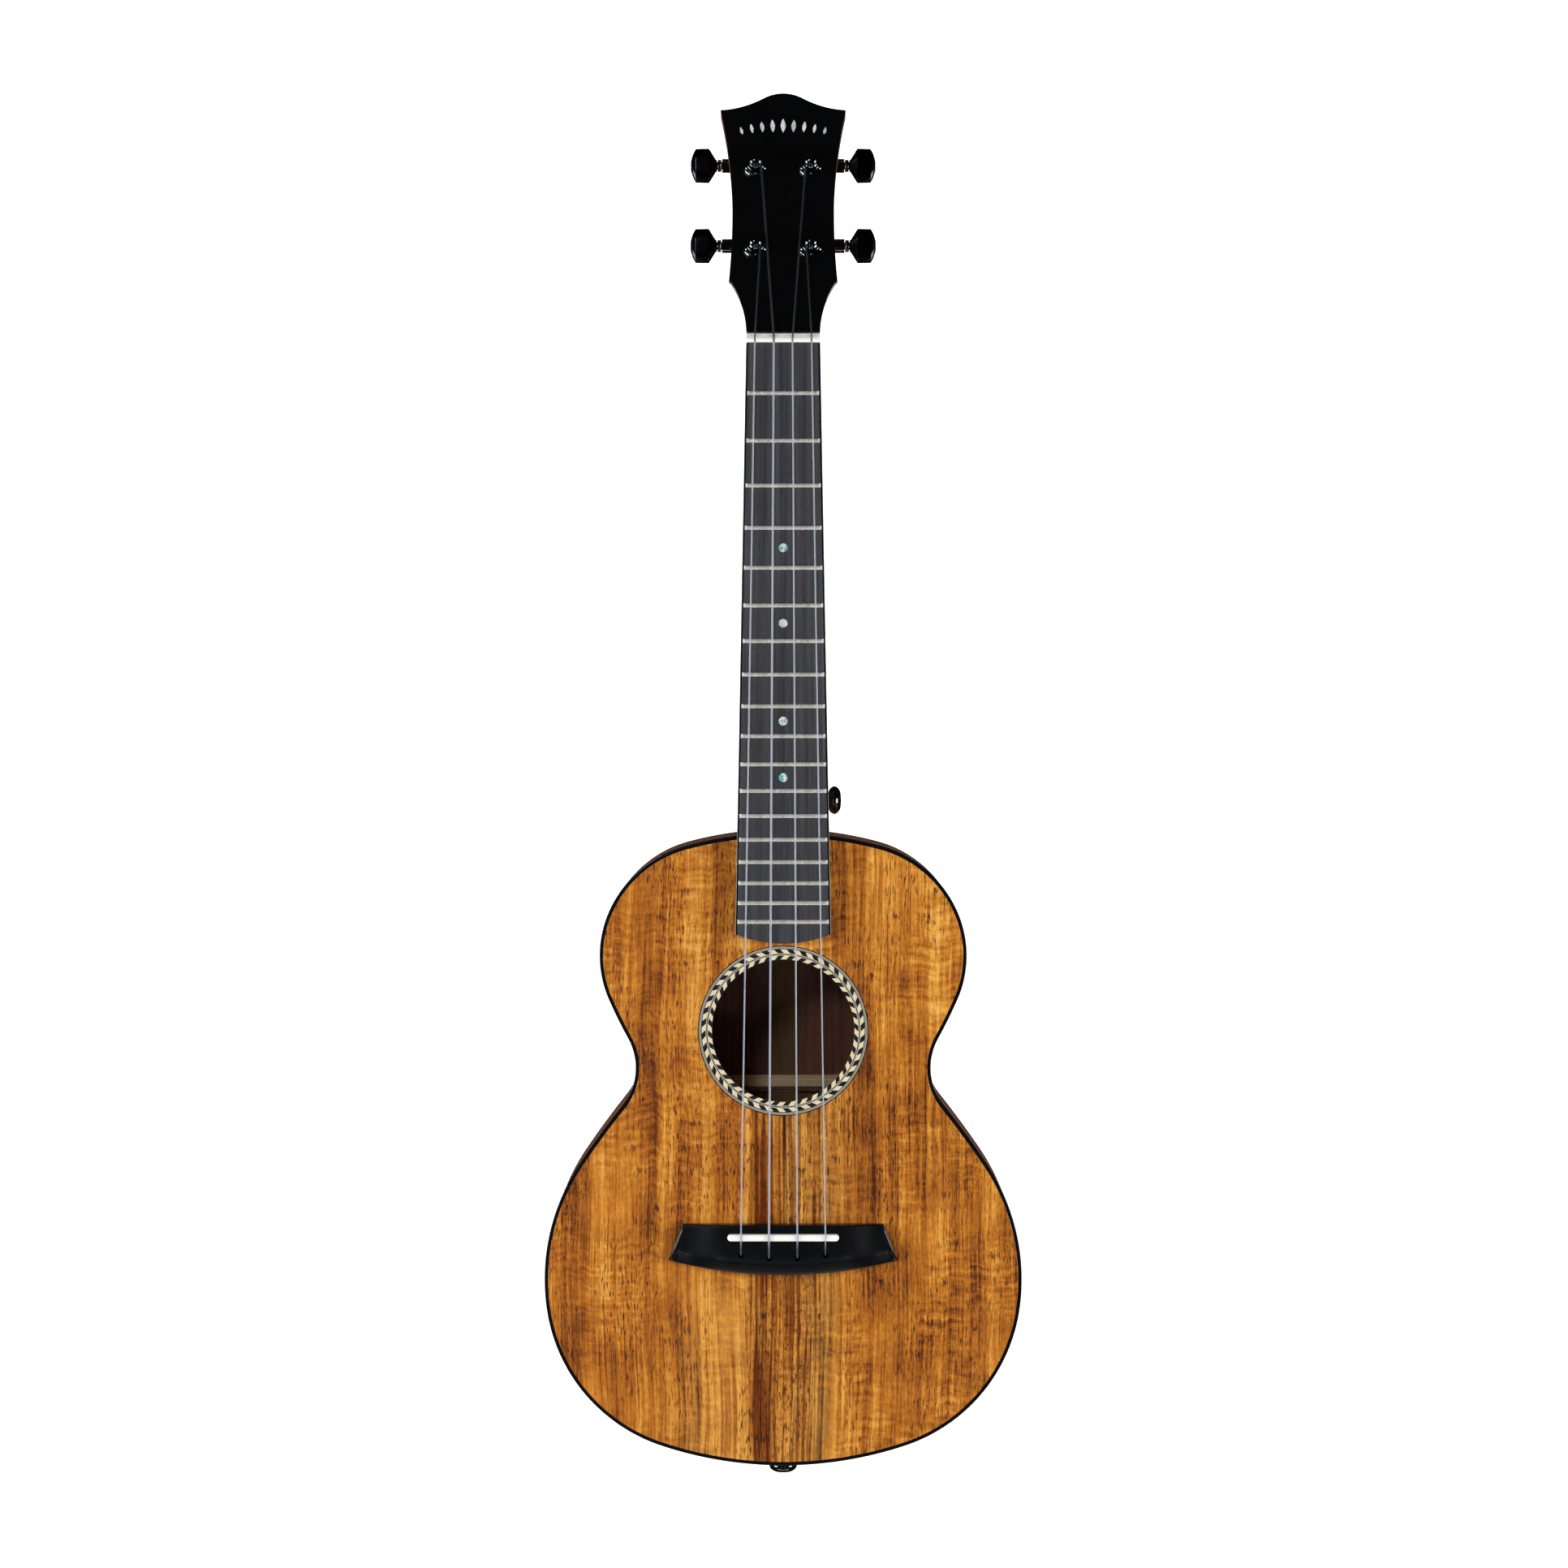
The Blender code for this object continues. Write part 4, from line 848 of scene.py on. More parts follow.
@dataclass(frozen=True)
class Lacquer(Finish):
    """Coloured gloss: slight orange peel, dust in the sheen and rubbed patches.

    A grey below 0.02 is the black lacquer of the head, the binding and the strap buttons.
    """

    label: str
    colour: Colour
    roughness: float = 0.12
    peel: float = 0.004

    def mixed(self, recipe: Recipe) -> bpy.types.Material:
        """Broad smudges change the roughness; a fine noise gives the peel.

        Args:
            recipe: the material under way.

        Returns:
            The material.
        """
        place = recipe.place()
        smudge = recipe.noise(place, 0.06, 4.0, 0.6)
        dust = recipe.noise(place, 3.0, 1.0).between(0.68, 0.76)
        peel = recipe.noise(place, 0.7, 2.0)
        lighter = tuple(channel * 1.35 + 0.0008 for channel in self.colour)
        shade = recipe.mix(smudge, self.colour, lighter)
        recipe.relief(peel, self.peel)
        return recipe.done(Base_Color=shade, Roughness=self.roughness + smudge * 0.10 + dust * 0.12,
                           Coat_Weight=0.5, Coat_Roughness=0.06)


@dataclass(frozen=True)
class InlayStrip(Finish):
    """A dyed wood or plastic strip of the rosette, with faint fibres."""

    label: str
    colour: Colour

    def mixed(self, recipe: Recipe) -> bpy.types.Material:
        """A fine noise varies the dye.

        Args:
            recipe: the material under way.

        Returns:
            The material.
        """
        place = recipe.place()
        fibre = recipe.noise(place, (1.4, 2.2, 1.0), 3.0, 0.65)
        darker = tuple(channel * 0.80 for channel in self.colour)
        shade = recipe.mix(fibre, darker, self.colour)
        recipe.relief(fibre, 0.006)
        return recipe.done(Base_Color=shade, Roughness=0.30 + fibre * 0.12, Coat_Weight=0.3,
                           Coat_Roughness=0.12)


@dataclass(frozen=True)
class Bone(Finish):
    """Ivory-white nut and saddle material, with faint lines along its length and rubbed gloss."""

    warm: Colour = (0.86, 0.83, 0.73)
    white: Colour = (0.93, 0.925, 0.89)

    def mixed(self, recipe: Recipe) -> bpy.types.Material:
        """Lengthwise lines and cloudy patches.

        Args:
            recipe: the material under way.

        Returns:
            The material.
        """
        place = recipe.place()
        lines = recipe.noise(place, (0.05, 2.4, 1.6), 3.0, 0.6)
        cloud = recipe.noise(place, 0.25, 2.0)
        shade = recipe.mix((lines * 0.5 + cloud * 0.7).between(0.25, 0.75), self.warm, self.white)
        recipe.relief(lines, 0.006)
        return recipe.done(Base_Color=shade, Roughness=0.30 + cloud * 0.15, Specular_IOR_Level=0.5)


@dataclass(frozen=True)
class Metal(Finish):
    """Plated or polished metal with fine drawn lines, smudges and rubbed spots."""

    label: str
    colour: Colour
    roughness: float = 0.2
    lines: tuple[float, float, float] = (0.2, 6.0, 6.0)
    # below one, part of the colour is lit as diffuse paint; the frets use this for a painted highlight
    metallic: float = 1.0

    def mixed(self, recipe: Recipe) -> bpy.types.Material:
        """Drawn lines along one direction, with patches of dulled plating.

        Args:
            recipe: the material under way.

        Returns:
            The material.
        """
        place = recipe.place()
        drawn = recipe.noise(place, self.lines, 2.0, 0.6)
        smudge = recipe.noise(place, 0.35, 3.0, 0.6)
        duller = tuple(channel * 0.78 for channel in self.colour)
        shade = recipe.mix(smudge, duller, self.colour)
        recipe.relief(drawn, 0.003)
        return recipe.done(Base_Color=shade, Metallic=self.metallic,
                           Roughness=self.roughness + (smudge - 0.5) * 0.14 + drawn * 0.06)


@dataclass(frozen=True)
class StringLine(Finish):
    """Clear bluish string: pale, glossy and cloudy along its length, with painted shade that turns it slate
    beyond the nut and the saddle.
    """

    colour: Colour = (0.56, 0.61, 0.70)
    # painted shade: the slate colour the string takes where it slopes away beyond the nut and the saddle
    slate: Colour = (0.040, 0.055, 0.085)
    nut_y: float = 214.0
    saddle_y: float = -217.5

    def mixed(self, recipe: Recipe) -> bpy.types.Material:
        """A slow change of tone along the string, fine drawing lines, and painted shade past the nut and the
        saddle.

        Args:
            recipe: the material under way.

        Returns:
            The material.
        """
        place = recipe.place()
        slow = recipe.noise(place, (0.1, 0.05, 0.1), 3.0)
        drawn = recipe.noise(place, (6.0, 0.3, 6.0), 1.0)
        paler = tuple(min(1.0, channel * 1.2) for channel in self.colour)
        _, y, _ = recipe.parts(place)
        shade = recipe.mix(slow, self.colour, paler)
        # painted shade: slate over the head beyond the nut, and most of the way past the saddle
        shade = recipe.mix(y.between(self.nut_y - 1.0, self.nut_y + 4.0), shade, self.slate)
        shade = recipe.mix(y.between(self.saddle_y + 1.0, self.saddle_y - 5.0) * 0.8, shade, self.slate)
        recipe.relief(drawn, 0.003)
        return recipe.done(Base_Color=shade, Roughness=0.30 + slow * 0.12, Transmission_Weight=0.68, IOR=1.5)


@dataclass(frozen=True)
class Pearl(Finish):
    """Shell inlay: cloudy layers that shift from silver to sea green, with a dark growth line."""

    label: str
    turn: float = 0.0
    green: float = 0.6

    def mixed(self, recipe: Recipe) -> bpy.types.Material:
        """Bent layers, turned differently on each dot, coloured by a ramp.

        Args:
            recipe: the material under way.

        Returns:
            The material.
        """
        settings = {"vector_type": "POINT"}
        inputs = {0: recipe.place(), 2: (0.0, 0.0, self.turn)}
        place = recipe.node("ShaderNodeMapping", settings, inputs).outputs[0]
        warp = recipe.noise(place, 0.5, 2.0)
        x, y, _ = recipe.parts(place)
        layers = ((x * 0.9 + y * 0.35 + warp * 6.0) * 1.7).sine() * 0.5 + 0.5
        cloud = recipe.noise(place, (1.4, 0.6, 1.0), 3.0, 0.6)

        def towards(silver: Colour, colour: Colour) -> Colour:
            """A silver moved towards a colour by the share of green."""
            return tuple(a + (b - a) * self.green for a, b in zip(silver, colour))

        shade = recipe.ramp(layers * 0.55 + cloud * 0.5, (
            (0.15, towards((0.50, 0.52, 0.54), (0.00, 0.34, 0.44))),
            (0.42, towards((0.62, 0.64, 0.65), (0.30, 0.60, 0.54))),
            (0.62, towards((0.74, 0.76, 0.76), (0.86, 0.92, 0.78))), (0.9, (0.90, 0.91, 0.90))))
        crack = recipe.noise(place, (0.7, 2.2, 1.0), 1.0)
        crack = (crack - 0.5).size().between(0.022, 0.006)
        shade = recipe.mix(crack * 0.8, shade, (0.02, 0.03, 0.03))
        recipe.relief(layers, 0.004)
        return recipe.done(Base_Color=shade, Roughness=0.22 + cloud * 0.12, Coat_Weight=0.4)


@dataclass(frozen=True)
class FloorPaper(Finish):
    """The studio's white paper, lit from behind."""

    glow: float = 1.0

    def mixed(self, recipe: Recipe) -> bpy.types.Material:
        """Almost even white, with a trace of tooth.

        Args:
            recipe: the material under way.

        Returns:
            The material.
        """
        tooth = recipe.noise(recipe.place(), 0.02, 2.0)
        shade = recipe.mix(tooth, (0.90, 0.90, 0.90), (0.93, 0.93, 0.93))
        return recipe.done(Base_Color=shade, Roughness=0.9, Emission_Color=(1.0, 1.0, 1.0),
                           Emission_Strength=self.glow)


class Wood:
    """The woods, plastics and metals that more than one piece is made of."""

    SIDE = PlainWood("side", (0.215, 0.088, 0.040), (0.080, 0.028, 0.013), Grain.ROUND, 0.5, 0.32, 0.35)
    BACK = PlainWood("back", (0.26, 0.105, 0.060), (0.11, 0.040, 0.024), Grain.LENGTHWISE, 0.5, 0.34, 0.3)
    NECK = PlainWood("neck", (0.235, 0.090, 0.040), (0.105, 0.034, 0.015), Grain.LENGTHWISE, 0.45, 0.36, 0.3)
    SPRUCE = PlainWood("brace", (0.90, 0.70, 0.46), (0.66, 0.42, 0.22), Grain.CROSSWISE, 0.1, 0.62, 0.0)
    STRIP = PlainWood("strip", (0.19, 0.105, 0.038), (0.13, 0.066, 0.022), Grain.LENGTHWISE, 0.1, 0.62, 0.0)
    LINING = PlainWood("lining", (0.46, 0.27, 0.13), (0.32, 0.17, 0.075), Grain.ROUND, 0.3, 0.66, 0.0)
    BLOCK = PlainWood("block", (0.40, 0.21, 0.10), (0.25, 0.11, 0.05), Grain.CROSSWISE, 0.5, 0.66, 0.0)
    BLACK = Lacquer("black", (0.0006, 0.0007, 0.0010), 0.08)
    BINDING = Lacquer("binding", (0.0015, 0.0018, 0.0028), 0.14, 0.003)
    CREAM = InlayStrip("cream", (0.86, 0.72, 0.46))
    WHITE = InlayStrip("white", (0.56, 0.52, 0.43))
    DYED = InlayStrip("dyed_black", (0.006, 0.006, 0.007))
    CHROME = Metal("black_chrome", (0.11, 0.112, 0.121), 0.07)
    KNOB = Metal("black_knob", (0.022, 0.0225, 0.025), 0.13)
    STEEL = Metal("steel", (0.46, 0.46, 0.47), 0.26)
    SCREW = Metal("blackened_screw", (0.10, 0.10, 0.105), 0.30)
    # the frets are only part metallic: the pale cream of their diffuse share is partly a painted highlight
    # along the crests
    NICKEL = Metal("fret_nickel", (0.88, 0.84, 0.76), 0.24, (0.15, 7.0, 7.0), 0.55)


# The soundbox


@dataclass(frozen=True)
class Soundbox:
    """The body: two plates, two bent sides, bindings, rosette, linings, struts and blocks."""

    crown_y: float = -21.9
    arcs: tuple[tuple[float, float], ...] = (
        (182.0, 15.0),  # crown, behind the heel
        (56.3, 54.6),  # shoulder
        (52.1, 43.9),  # upper bout
        (225.0, 5.4),  # into the waist
        (-29.5, 67.5),  # waist; a negative radius turns the other way
        (438.0, 4.5),  # out of the waist
        (100.1, 43.5),  # lower bout
        (81.9, 62.1),  # hip
    )
    arc_step: float = 1.2  # degrees
    plate_inset: float = 1.75
    side_thickness: float = 2.5
    binding_height: float = 5.0
    rosette_depth: float = 1.2
    lining_depth: float = 5.5
    lining_height: float = 11.0
    kerf_pitch: float = 5.0
    mortise_half_width: float = 7.8
    mortise_low: float = 17.7

    def half(self) -> Array:
        """The treble half of the outline, as x, y and the outward normal.

        Tangent arcs run clockwise from the crown: x = cx - s r sin a and y = cy + s r cos a, with
        s = -1 where an arc turns the other way. The last arc closes the outline at the tail.

        Returns:
            A row of four numbers for each point.
        """
        def follow(arcs: Sequence[tuple[float, float]]) -> Array:
            """Chain the arcs from the crown.

            Args:
                arcs: each arc's radius and sweep.

            Returns:
                A row for each point.
            """
            x, y, heading = 0.0, self.crown_y, 0.0
            rows = [np.array([[x, y, 0.0, 1.0]])]
            for radius, sweep in arcs:
                side, size = math.copysign(1.0, radius), abs(radius)
                count = math.ceil(sweep / self.arc_step)
                here = heading - side * math.radians(sweep) * np.arange(1, count + 1) / count
                centre_x = x + side * size * math.sin(heading)
                centre_y = y - side * size * math.cos(heading)
                sine, cosine = np.sin(here), np.cos(here)
                rows.append(np.column_stack([centre_x - side * size * sine,
                                             centre_y + side * size * cosine, -sine, cosine]))
                x, y, heading = rows[-1][-1][0], rows[-1][-1][1], here[-1]
            return np.vstack(rows)

        reach = follow(self.arcs)[-1]
        sweep = 180.0 - sum(math.copysign(angle, radius) for radius, angle in self.arcs)
        return follow((*self.arcs, (reach[0] / math.sin(math.radians(sweep)), sweep)))

    def outline(self) -> Outline:
        """The whole outline, clockwise from the crown.

        Returns:
            The outline.
        """
        half = self.half()
        mirrored = half[-2:0:-1] * np.array([-1.0, 1.0, -1.0, 1.0])
        rows = np.vstack([half, mirrored])
        return Outline(rows[:, :2], rows[:, 2:])

    def hole(self) -> tuple[Array, float, float]:
        """Read the soundhole from the rosette.

        Returns:
            Its centre, its radius and the rosette's.
        """
        low, high = node_box("rosette")
        reach = (high[0] - low[0]) / 2
        return (low[:2] + high[:2]) / 2, reach - 6.7, reach

    def build(self) -> None:
        """Build every piece of the body."""
        self.build_soundboard()
        self.build_rosette()
        self.build_back()
        self.build_sides()
        self.build_bindings()
        self.build_linings()
        self.build_back_struts()
        for node in ("top_bracing", "neck_block", "tail_block"):
            dress(node, Wood.SPRUCE if node == "top_bracing" else Wood.BLOCK)

    def build_soundboard(self) -> None:
        """The top: rings that pass from the soundhole to the outline along rays from the hole's centre."""
        low, high = node_levels("soundboard")
        outline = self.outline()
        centre, hole_radius, rosette_radius = self.hole()
        edge = outline.inset(self.plate_inset)
        ray = outline.points - centre
        ray /= np.linalg.norm(ray, axis=1, keepdims=True)
        floor = high - self.rosette_depth - 0.05
        recess = rosette_radius + 0.02
        rings = [(centre + ray * radius, height) for radius, height in (
            (hole_radius, low), (hole_radius, floor), (recess, floor), (recess, high), (recess + HEM, high))]
        inner = centre + ray * (recess + HEM)
        rings += [(inner + (edge - inner) * share, high) for share in np.linspace(0.1, 0.98, 10)]
        rings += [(outline.inset(self.plate_inset + 0.1), high), (edge, high - 0.08), (edge, low)]
        shell = Shell.grid(np.stack([raised(*ring) for ring in rings]), rows_meet=True)
        make_piece(Job("top_plate", "koa_top", ("soundboard",)), shell, FiguredTop())

    def build_rosette(self) -> None:
        """The inlaid ring: concentric strips, two of them cut into slanting black and cream blocks.

        A strip lies between two rings of points; a slanting strip's inner ring is turned against
        its outer one, so that its blocks lean.
        """
        centre, _, reach = self.hole()
        top = node_levels("rosette")[1]
        period = 10  # columns in one black and one cream block
        count = 40 * period
        column = 2 * np.pi / count
        slanting = np.arange(count) // (period // 2) % 2
        strips = (  # inner edge's distance from the rim, columns that it is turned by, finishes
            (0.54, 0, 0), (0.90, 0, 2), (1.18, 0, 0), (1.46, 0, 2), (1.84, 0, 0), (3.70, -3, slanting),
            (4.04, 0, 2), (4.46, 0, 0), (4.80, 0, 2), (6.55, 3, slanting), (6.68, 0, slanting))
        edges, leans, finishes = zip(*strips)
        radii = reach - np.array([0.01, *edges])
        turns = np.cumsum([0, *leans]) * column
        angle = np.arange(count) * column + turns[:, None] + math.radians(2.0)
        heights = np.full(len(radii), top)
        heights[-1] = top - 0.12
        face = HOME.moved(*centre, 0.0).put(about_axis(radii[:, None], angle, heights[:, None]))
        base = face[[-1, 0]].copy()
        base[:, :, 2] = top - self.rosette_depth + 0.05
        shell = Shell.grid(np.vstack([face, base]), rows_meet=True)
        shell.finishes = [np.broadcast_to(finish, count) for finish in (*finishes, slanting, 0, 0)]
        job = Job("rosette_inlay", "rosette_inlay", ("rosette",))
        make_piece(job, shell, Wood.DYED, Wood.CREAM, Wood.WHITE)

    def build_back(self) -> None:
        """The back: a level plate with a soft edge."""
        low, high = node_levels("back_plate")
        layers = [(inset + self.plate_inset, height) for inset, height in rounded_layers(low, high, 0.1, 0.1)]
        make_piece(Job("back", "side_wood", ("back_plate",)), stack(self.outline(), layers), Wood.BACK)

    def build_sides(self) -> None:
        """Two bent sides with a step for each binding; their ends meet at the crown and the tail."""
        thick, step = self.side_thickness, self.plate_inset
        low, high = node_levels("side_bass")
        shelf = self.binding_height + 0.05
        top = 70.0 - shelf
        section = np.array([(thick, low), (step, low), (step, shelf), (0.03, shelf), (0.0, shelf + 0.1),
                            (0.0, top - 0.1), (0.03, top), (step, top), (step, high), (thick, high)])
        half = self.half()
        mortise = block((-self.mortise_half_width, self.crown_y - 8.0, self.mortise_low),
                        (self.mortise_half_width, self.crown_y + 5.0, 62.3))
        for name, sign in (("side_treble", 1.0), ("side_bass", -1.0)):
            flat = half[None, :, :2] - half[None, :, 2:] * section[:, :1, None]
            flat[:, [0, -1], 0] = 0.06
            rows = grid_of(sign * flat[..., 0], flat[..., 1], section[:, 1:])
            shell = Shell.grid(rows.transpose(1, 0, 2)).capped(len(section))
            job = Job(name.replace("side", "bent_side"), "side_wood", (name,), tools=((Cut.AWAY, mortise),))
            make_piece(job, shell, Wood.SIDE)

    def build_bindings(self) -> None:
        """Black strips round both edges of the body, rounded on the outside."""
        width, tall = self.plate_inset - 0.04, self.binding_height
        corner = softened(((width, 0.02), (0.0, 0.02), (0.0, tall)), 0.35, 7)
        section = [tuple(point) for point in corner] + [(width, tall)]
        for edge, lift, node in (("top", 70.0, ("top_binding",)), ("back", 0.0, ())):
            turned_up = [(inset, lift - height if lift else height) for inset, height in section]
            job = Job(edge + "_edge_binding", "black_binding", node)
            make_piece(job, along_outline(self.outline(), turned_up), Wood.BINDING)
        tail_y = self.half()[-1][1]
        wedge = block((-1.6, tail_y - 0.12, 5.2), (1.6, tail_y + 2.3, 64.8), 0.1)
        low, high = node_box("strap_button_tail")
        middle = np.array([0.0, tail_y, (low[2] + high[2]) / 2])
        bore = turned(((2.3, -6.0), (2.3, 6.0))).placed(Place(middle, HOME.across, HOME.out, HOME.along))
        make_piece(Job("tail_wedge", "black_binding", tools=((Cut.AWAY, bore),)), wedge, Wood.BINDING)

    def build_linings(self) -> None:
        """Kerfed strips inside the sides: a wedge section whose depth drops to a quarter at each saw cut."""
        outline = self.outline()
        stride = np.linalg.norm(np.roll(outline.points, -1, axis=0) - outline.points, axis=1)
        travel = np.concatenate([[0.0], np.cumsum(stride)])
        total = travel[-1]
        teeth = round(total / self.kerf_pitch)
        starts = np.arange(teeth)[:, None] * total / teeth
        marks = (starts + np.array([0.0, 0.02, 0.82, 0.84]) * total / teeth).ravel()
        rows = np.column_stack([outline.points, outline.normals])
        rows = np.vstack([rows, rows[:1]])
        at = np.column_stack([np.interp(marks, travel, rows[:, column]) for column in range(4)])
        lined = Outline(at[:, :2], at[:, 2:] / np.linalg.norm(at[:, 2:], axis=1, keepdims=True))
        depth = np.tile([0.25, 1.0, 1.0, 0.25], teeth) * self.lining_depth
        inner = self.side_thickness + 0.05
        for name, face, foot in (("top_lining", 67.65, -1.0), ("back_lining", 2.45, 1.0)):
            section = [((inner + share * depth)[:, None], face + foot * height) for share, height in (
                (0.0, 0.0), (1.0, 0.0), (0.9, 2.5), (0.0, self.lining_height))]
            make_piece(Job(name, "brace_wood"), along_outline(lined, section), Wood.LINING)

    def build_back_struts(self) -> None:
        """Three round-topped bars across the back and the strip over its seam."""
        low = node_levels("back_bracing")[0] - 0.25
        reach = np.array([-1.0, -0.82, -0.7, 0.7, 0.82, 1.0])
        tall = np.array([0.30, 0.45, 1.0, 1.0, 0.45, 0.30])
        section = softened(((-4.0, 0.0), (-4.0, 3.0), (-2.7, 3.3), (-2.7, 5.6), (-1.4, 6.0), (-1.4, 8.2),
                            (1.4, 8.2), (1.4, 6.0), (2.7, 5.6), (2.7, 3.3), (4.0, 3.0), (4.0, 0.0)), 0.25, 3)
        shell = block((-6.9, -312.0, low), (6.9, -46.0, low + 1.8), 0.4)
        shell.finishes = [np.full(len(part), 1) for part in shell.finishes]
        share = np.linspace(-1.0, 1.0, 41)
        height = np.interp(share, reach, tall)[:, None]
        for place, half_length in ((-70.0, 66.0), (-148.0, 62.0), (-235.0, 98.0)):
            rows = grid_of(share[:, None] * half_length, place + section[:, 0], low + section[:, 1] * height)
            shell = shell + Shell.grid(rows).capped(len(section))
        make_piece(Job("back_struts", "brace_wood", ("back_bracing",)), shell, Wood.SPRUCE, Wood.STRIP)


# Head and neck


@dataclass(frozen=True)
class Head:
    """The tilted head: its outline, its black plate and its inlaid motif."""

    neck_half_width: float = 17.8
    ear_half_width: float = 26.2
    ear_v: float = 26.4
    waist_half_width: float = 24.6
    waist_v: float = 60.0
    corner_half_width: float = 30.4
    corner_v: float = 113.3
    length: float = 121.9
    crest_radius: float = 19.5
    crest_sweep: float = 29.0
    plate_start: float = 0.6
    plate_thickness: float = 2.0
    thickness: float = 14.0
    bushing_hole: float = 5.0
    lower_posts: float = 43.9  # from the head's start to the lower machines

    def place(self) -> Place:
        """The head's frame, tilted as a machine's post is.

        Returns:
            The frame, with its origin at the nut.
        """
        post = joint_place("tuner_1_post_turn")
        origin = post.origin - post.along * self.lower_posts
        origin[0] = 0.0
        return Place(origin, post.across, post.along, post.out)

    def outline(self) -> Outline:
        """The head's outline, anticlockwise.

        From the nut: a concave arc to the ear, parabolas in to the waist and out to the corner, an
        S-shaped shoulder and the crest's arc.

        Returns:
            The outline in the head's plane.
        """
        rise, spread = self.ear_v, self.ear_half_width - self.neck_half_width
        radius = (rise**2 + spread**2) / (2 * spread)
        v = rise * np.linspace(0.0, 1.0, 16)
        flare = np.column_stack([self.neck_half_width + radius - np.sqrt(radius**2 - v**2), v])
        share = np.linspace(0.0, 1.0, 14)[1:]
        waist, corner = self.waist_half_width, self.corner_half_width
        into = np.column_stack([waist + (self.ear_half_width - waist) * (1 - share) ** 2,
                                self.ear_v + (self.waist_v - self.ear_v) * share])
        away = np.column_stack([waist + (corner - waist) * share**2,
                                self.waist_v + (self.corner_v - self.waist_v) * share])
        sweep = math.radians(self.crest_sweep)
        angle = sweep * (1 - np.linspace(0.0, 1.0, 9))
        crest = np.column_stack([self.crest_radius * np.sin(angle),
                                 self.length - self.crest_radius * (1 - np.cos(angle))])
        x = np.linspace(corner, crest[0, 0], 15)[1:-1]
        shoulder = np.column_stack([x, hermite(x, (corner, crest[0, 0]), (self.corner_v, crest[0, 1]),
                                               (-0.06, -math.tan(sweep)))])
        half = np.vstack([flare, into, away, shoulder, crest])
        mirrored = half[-2::-1] * np.array([-1.0, 1.0])
        return Outline.through(np.vstack([half, mirrored]))

    def holes(self) -> tuple[tuple[Cut, Shell], ...]:
        """Holes through the head for the four bushings.

        Returns:
            What each hole does, and its surface.
        """
        bore = ((self.bushing_hole, -self.thickness - 4.0), (self.bushing_hole, 4.0))
        places = [joint_place("tuner_%d_post_turn" % number) for number in (1, 2, 3, 4)]
        return tuple((Cut.AWAY, turned(bore).placed(place)) for place in places)

    def build(self) -> None:
        """Build the head's plate and its motif."""
        outline = self.outline()
        outline.points[:, 1] = np.maximum(outline.points[:, 1], self.plate_start)
        face = plate(outline, -self.plate_thickness, 0.0, 0.05, 0.45).placed(self.place())
        job = Job("head_plate", "black_gloss", ("head_veneer",), tools=self.holes())
        make_piece(job, face, Wood.BLACK)
        self.build_motif()

    def build_motif(self) -> None:
        """A plain arch of pearl leaves: lens shapes that shrink away from the middle one."""
        rise_radius = 78.0
        shell = None
        for step in range(-4, 5):
            size = 1.0 - 0.11 * abs(step)
            angle = math.radians(3.75 * step)
            centre = np.array([rise_radius * math.sin(angle), 105.2 - rise_radius * (1 - math.cos(angle))])
            lens = Outline.ellipse(1.25 * size, 3.5 * size, 1.35, 28).points
            turn = np.array([[math.cos(angle), -math.sin(angle)], [math.sin(angle), math.cos(angle)]])
            leaf = plate(Outline.through(centre + lens @ turn), -0.15, 0.03, 0.02, 0.02).placed(self.place())
            shell = shell + leaf if shell else leaf
        make_piece(Job("head_motif", "rosette_inlay"), shell, Pearl("silver", 0.4, 0.12))


def hermite(at: Array, ends: Sequence[float], values: Sequence[float], slopes: Sequence[float]) -> Array:
    """A cubic that has the given values and slopes at its two ends.

    Args:
        at: where to find it.
        ends: its two ends.
        values: its value at each end.
        slopes: its slope at each end.

    Returns:
        The cubic's values.
    """
    span = ends[1] - ends[0]
    t = (at - ends[0]) / span
    return ((2 * t**3 - 3 * t**2 + 1) * values[0] + (t**3 - 2 * t**2 + t) * span * slopes[0]
            + (3 * t**2 - 2 * t**3) * values[1] + (t**3 - t**2) * span * slopes[1])


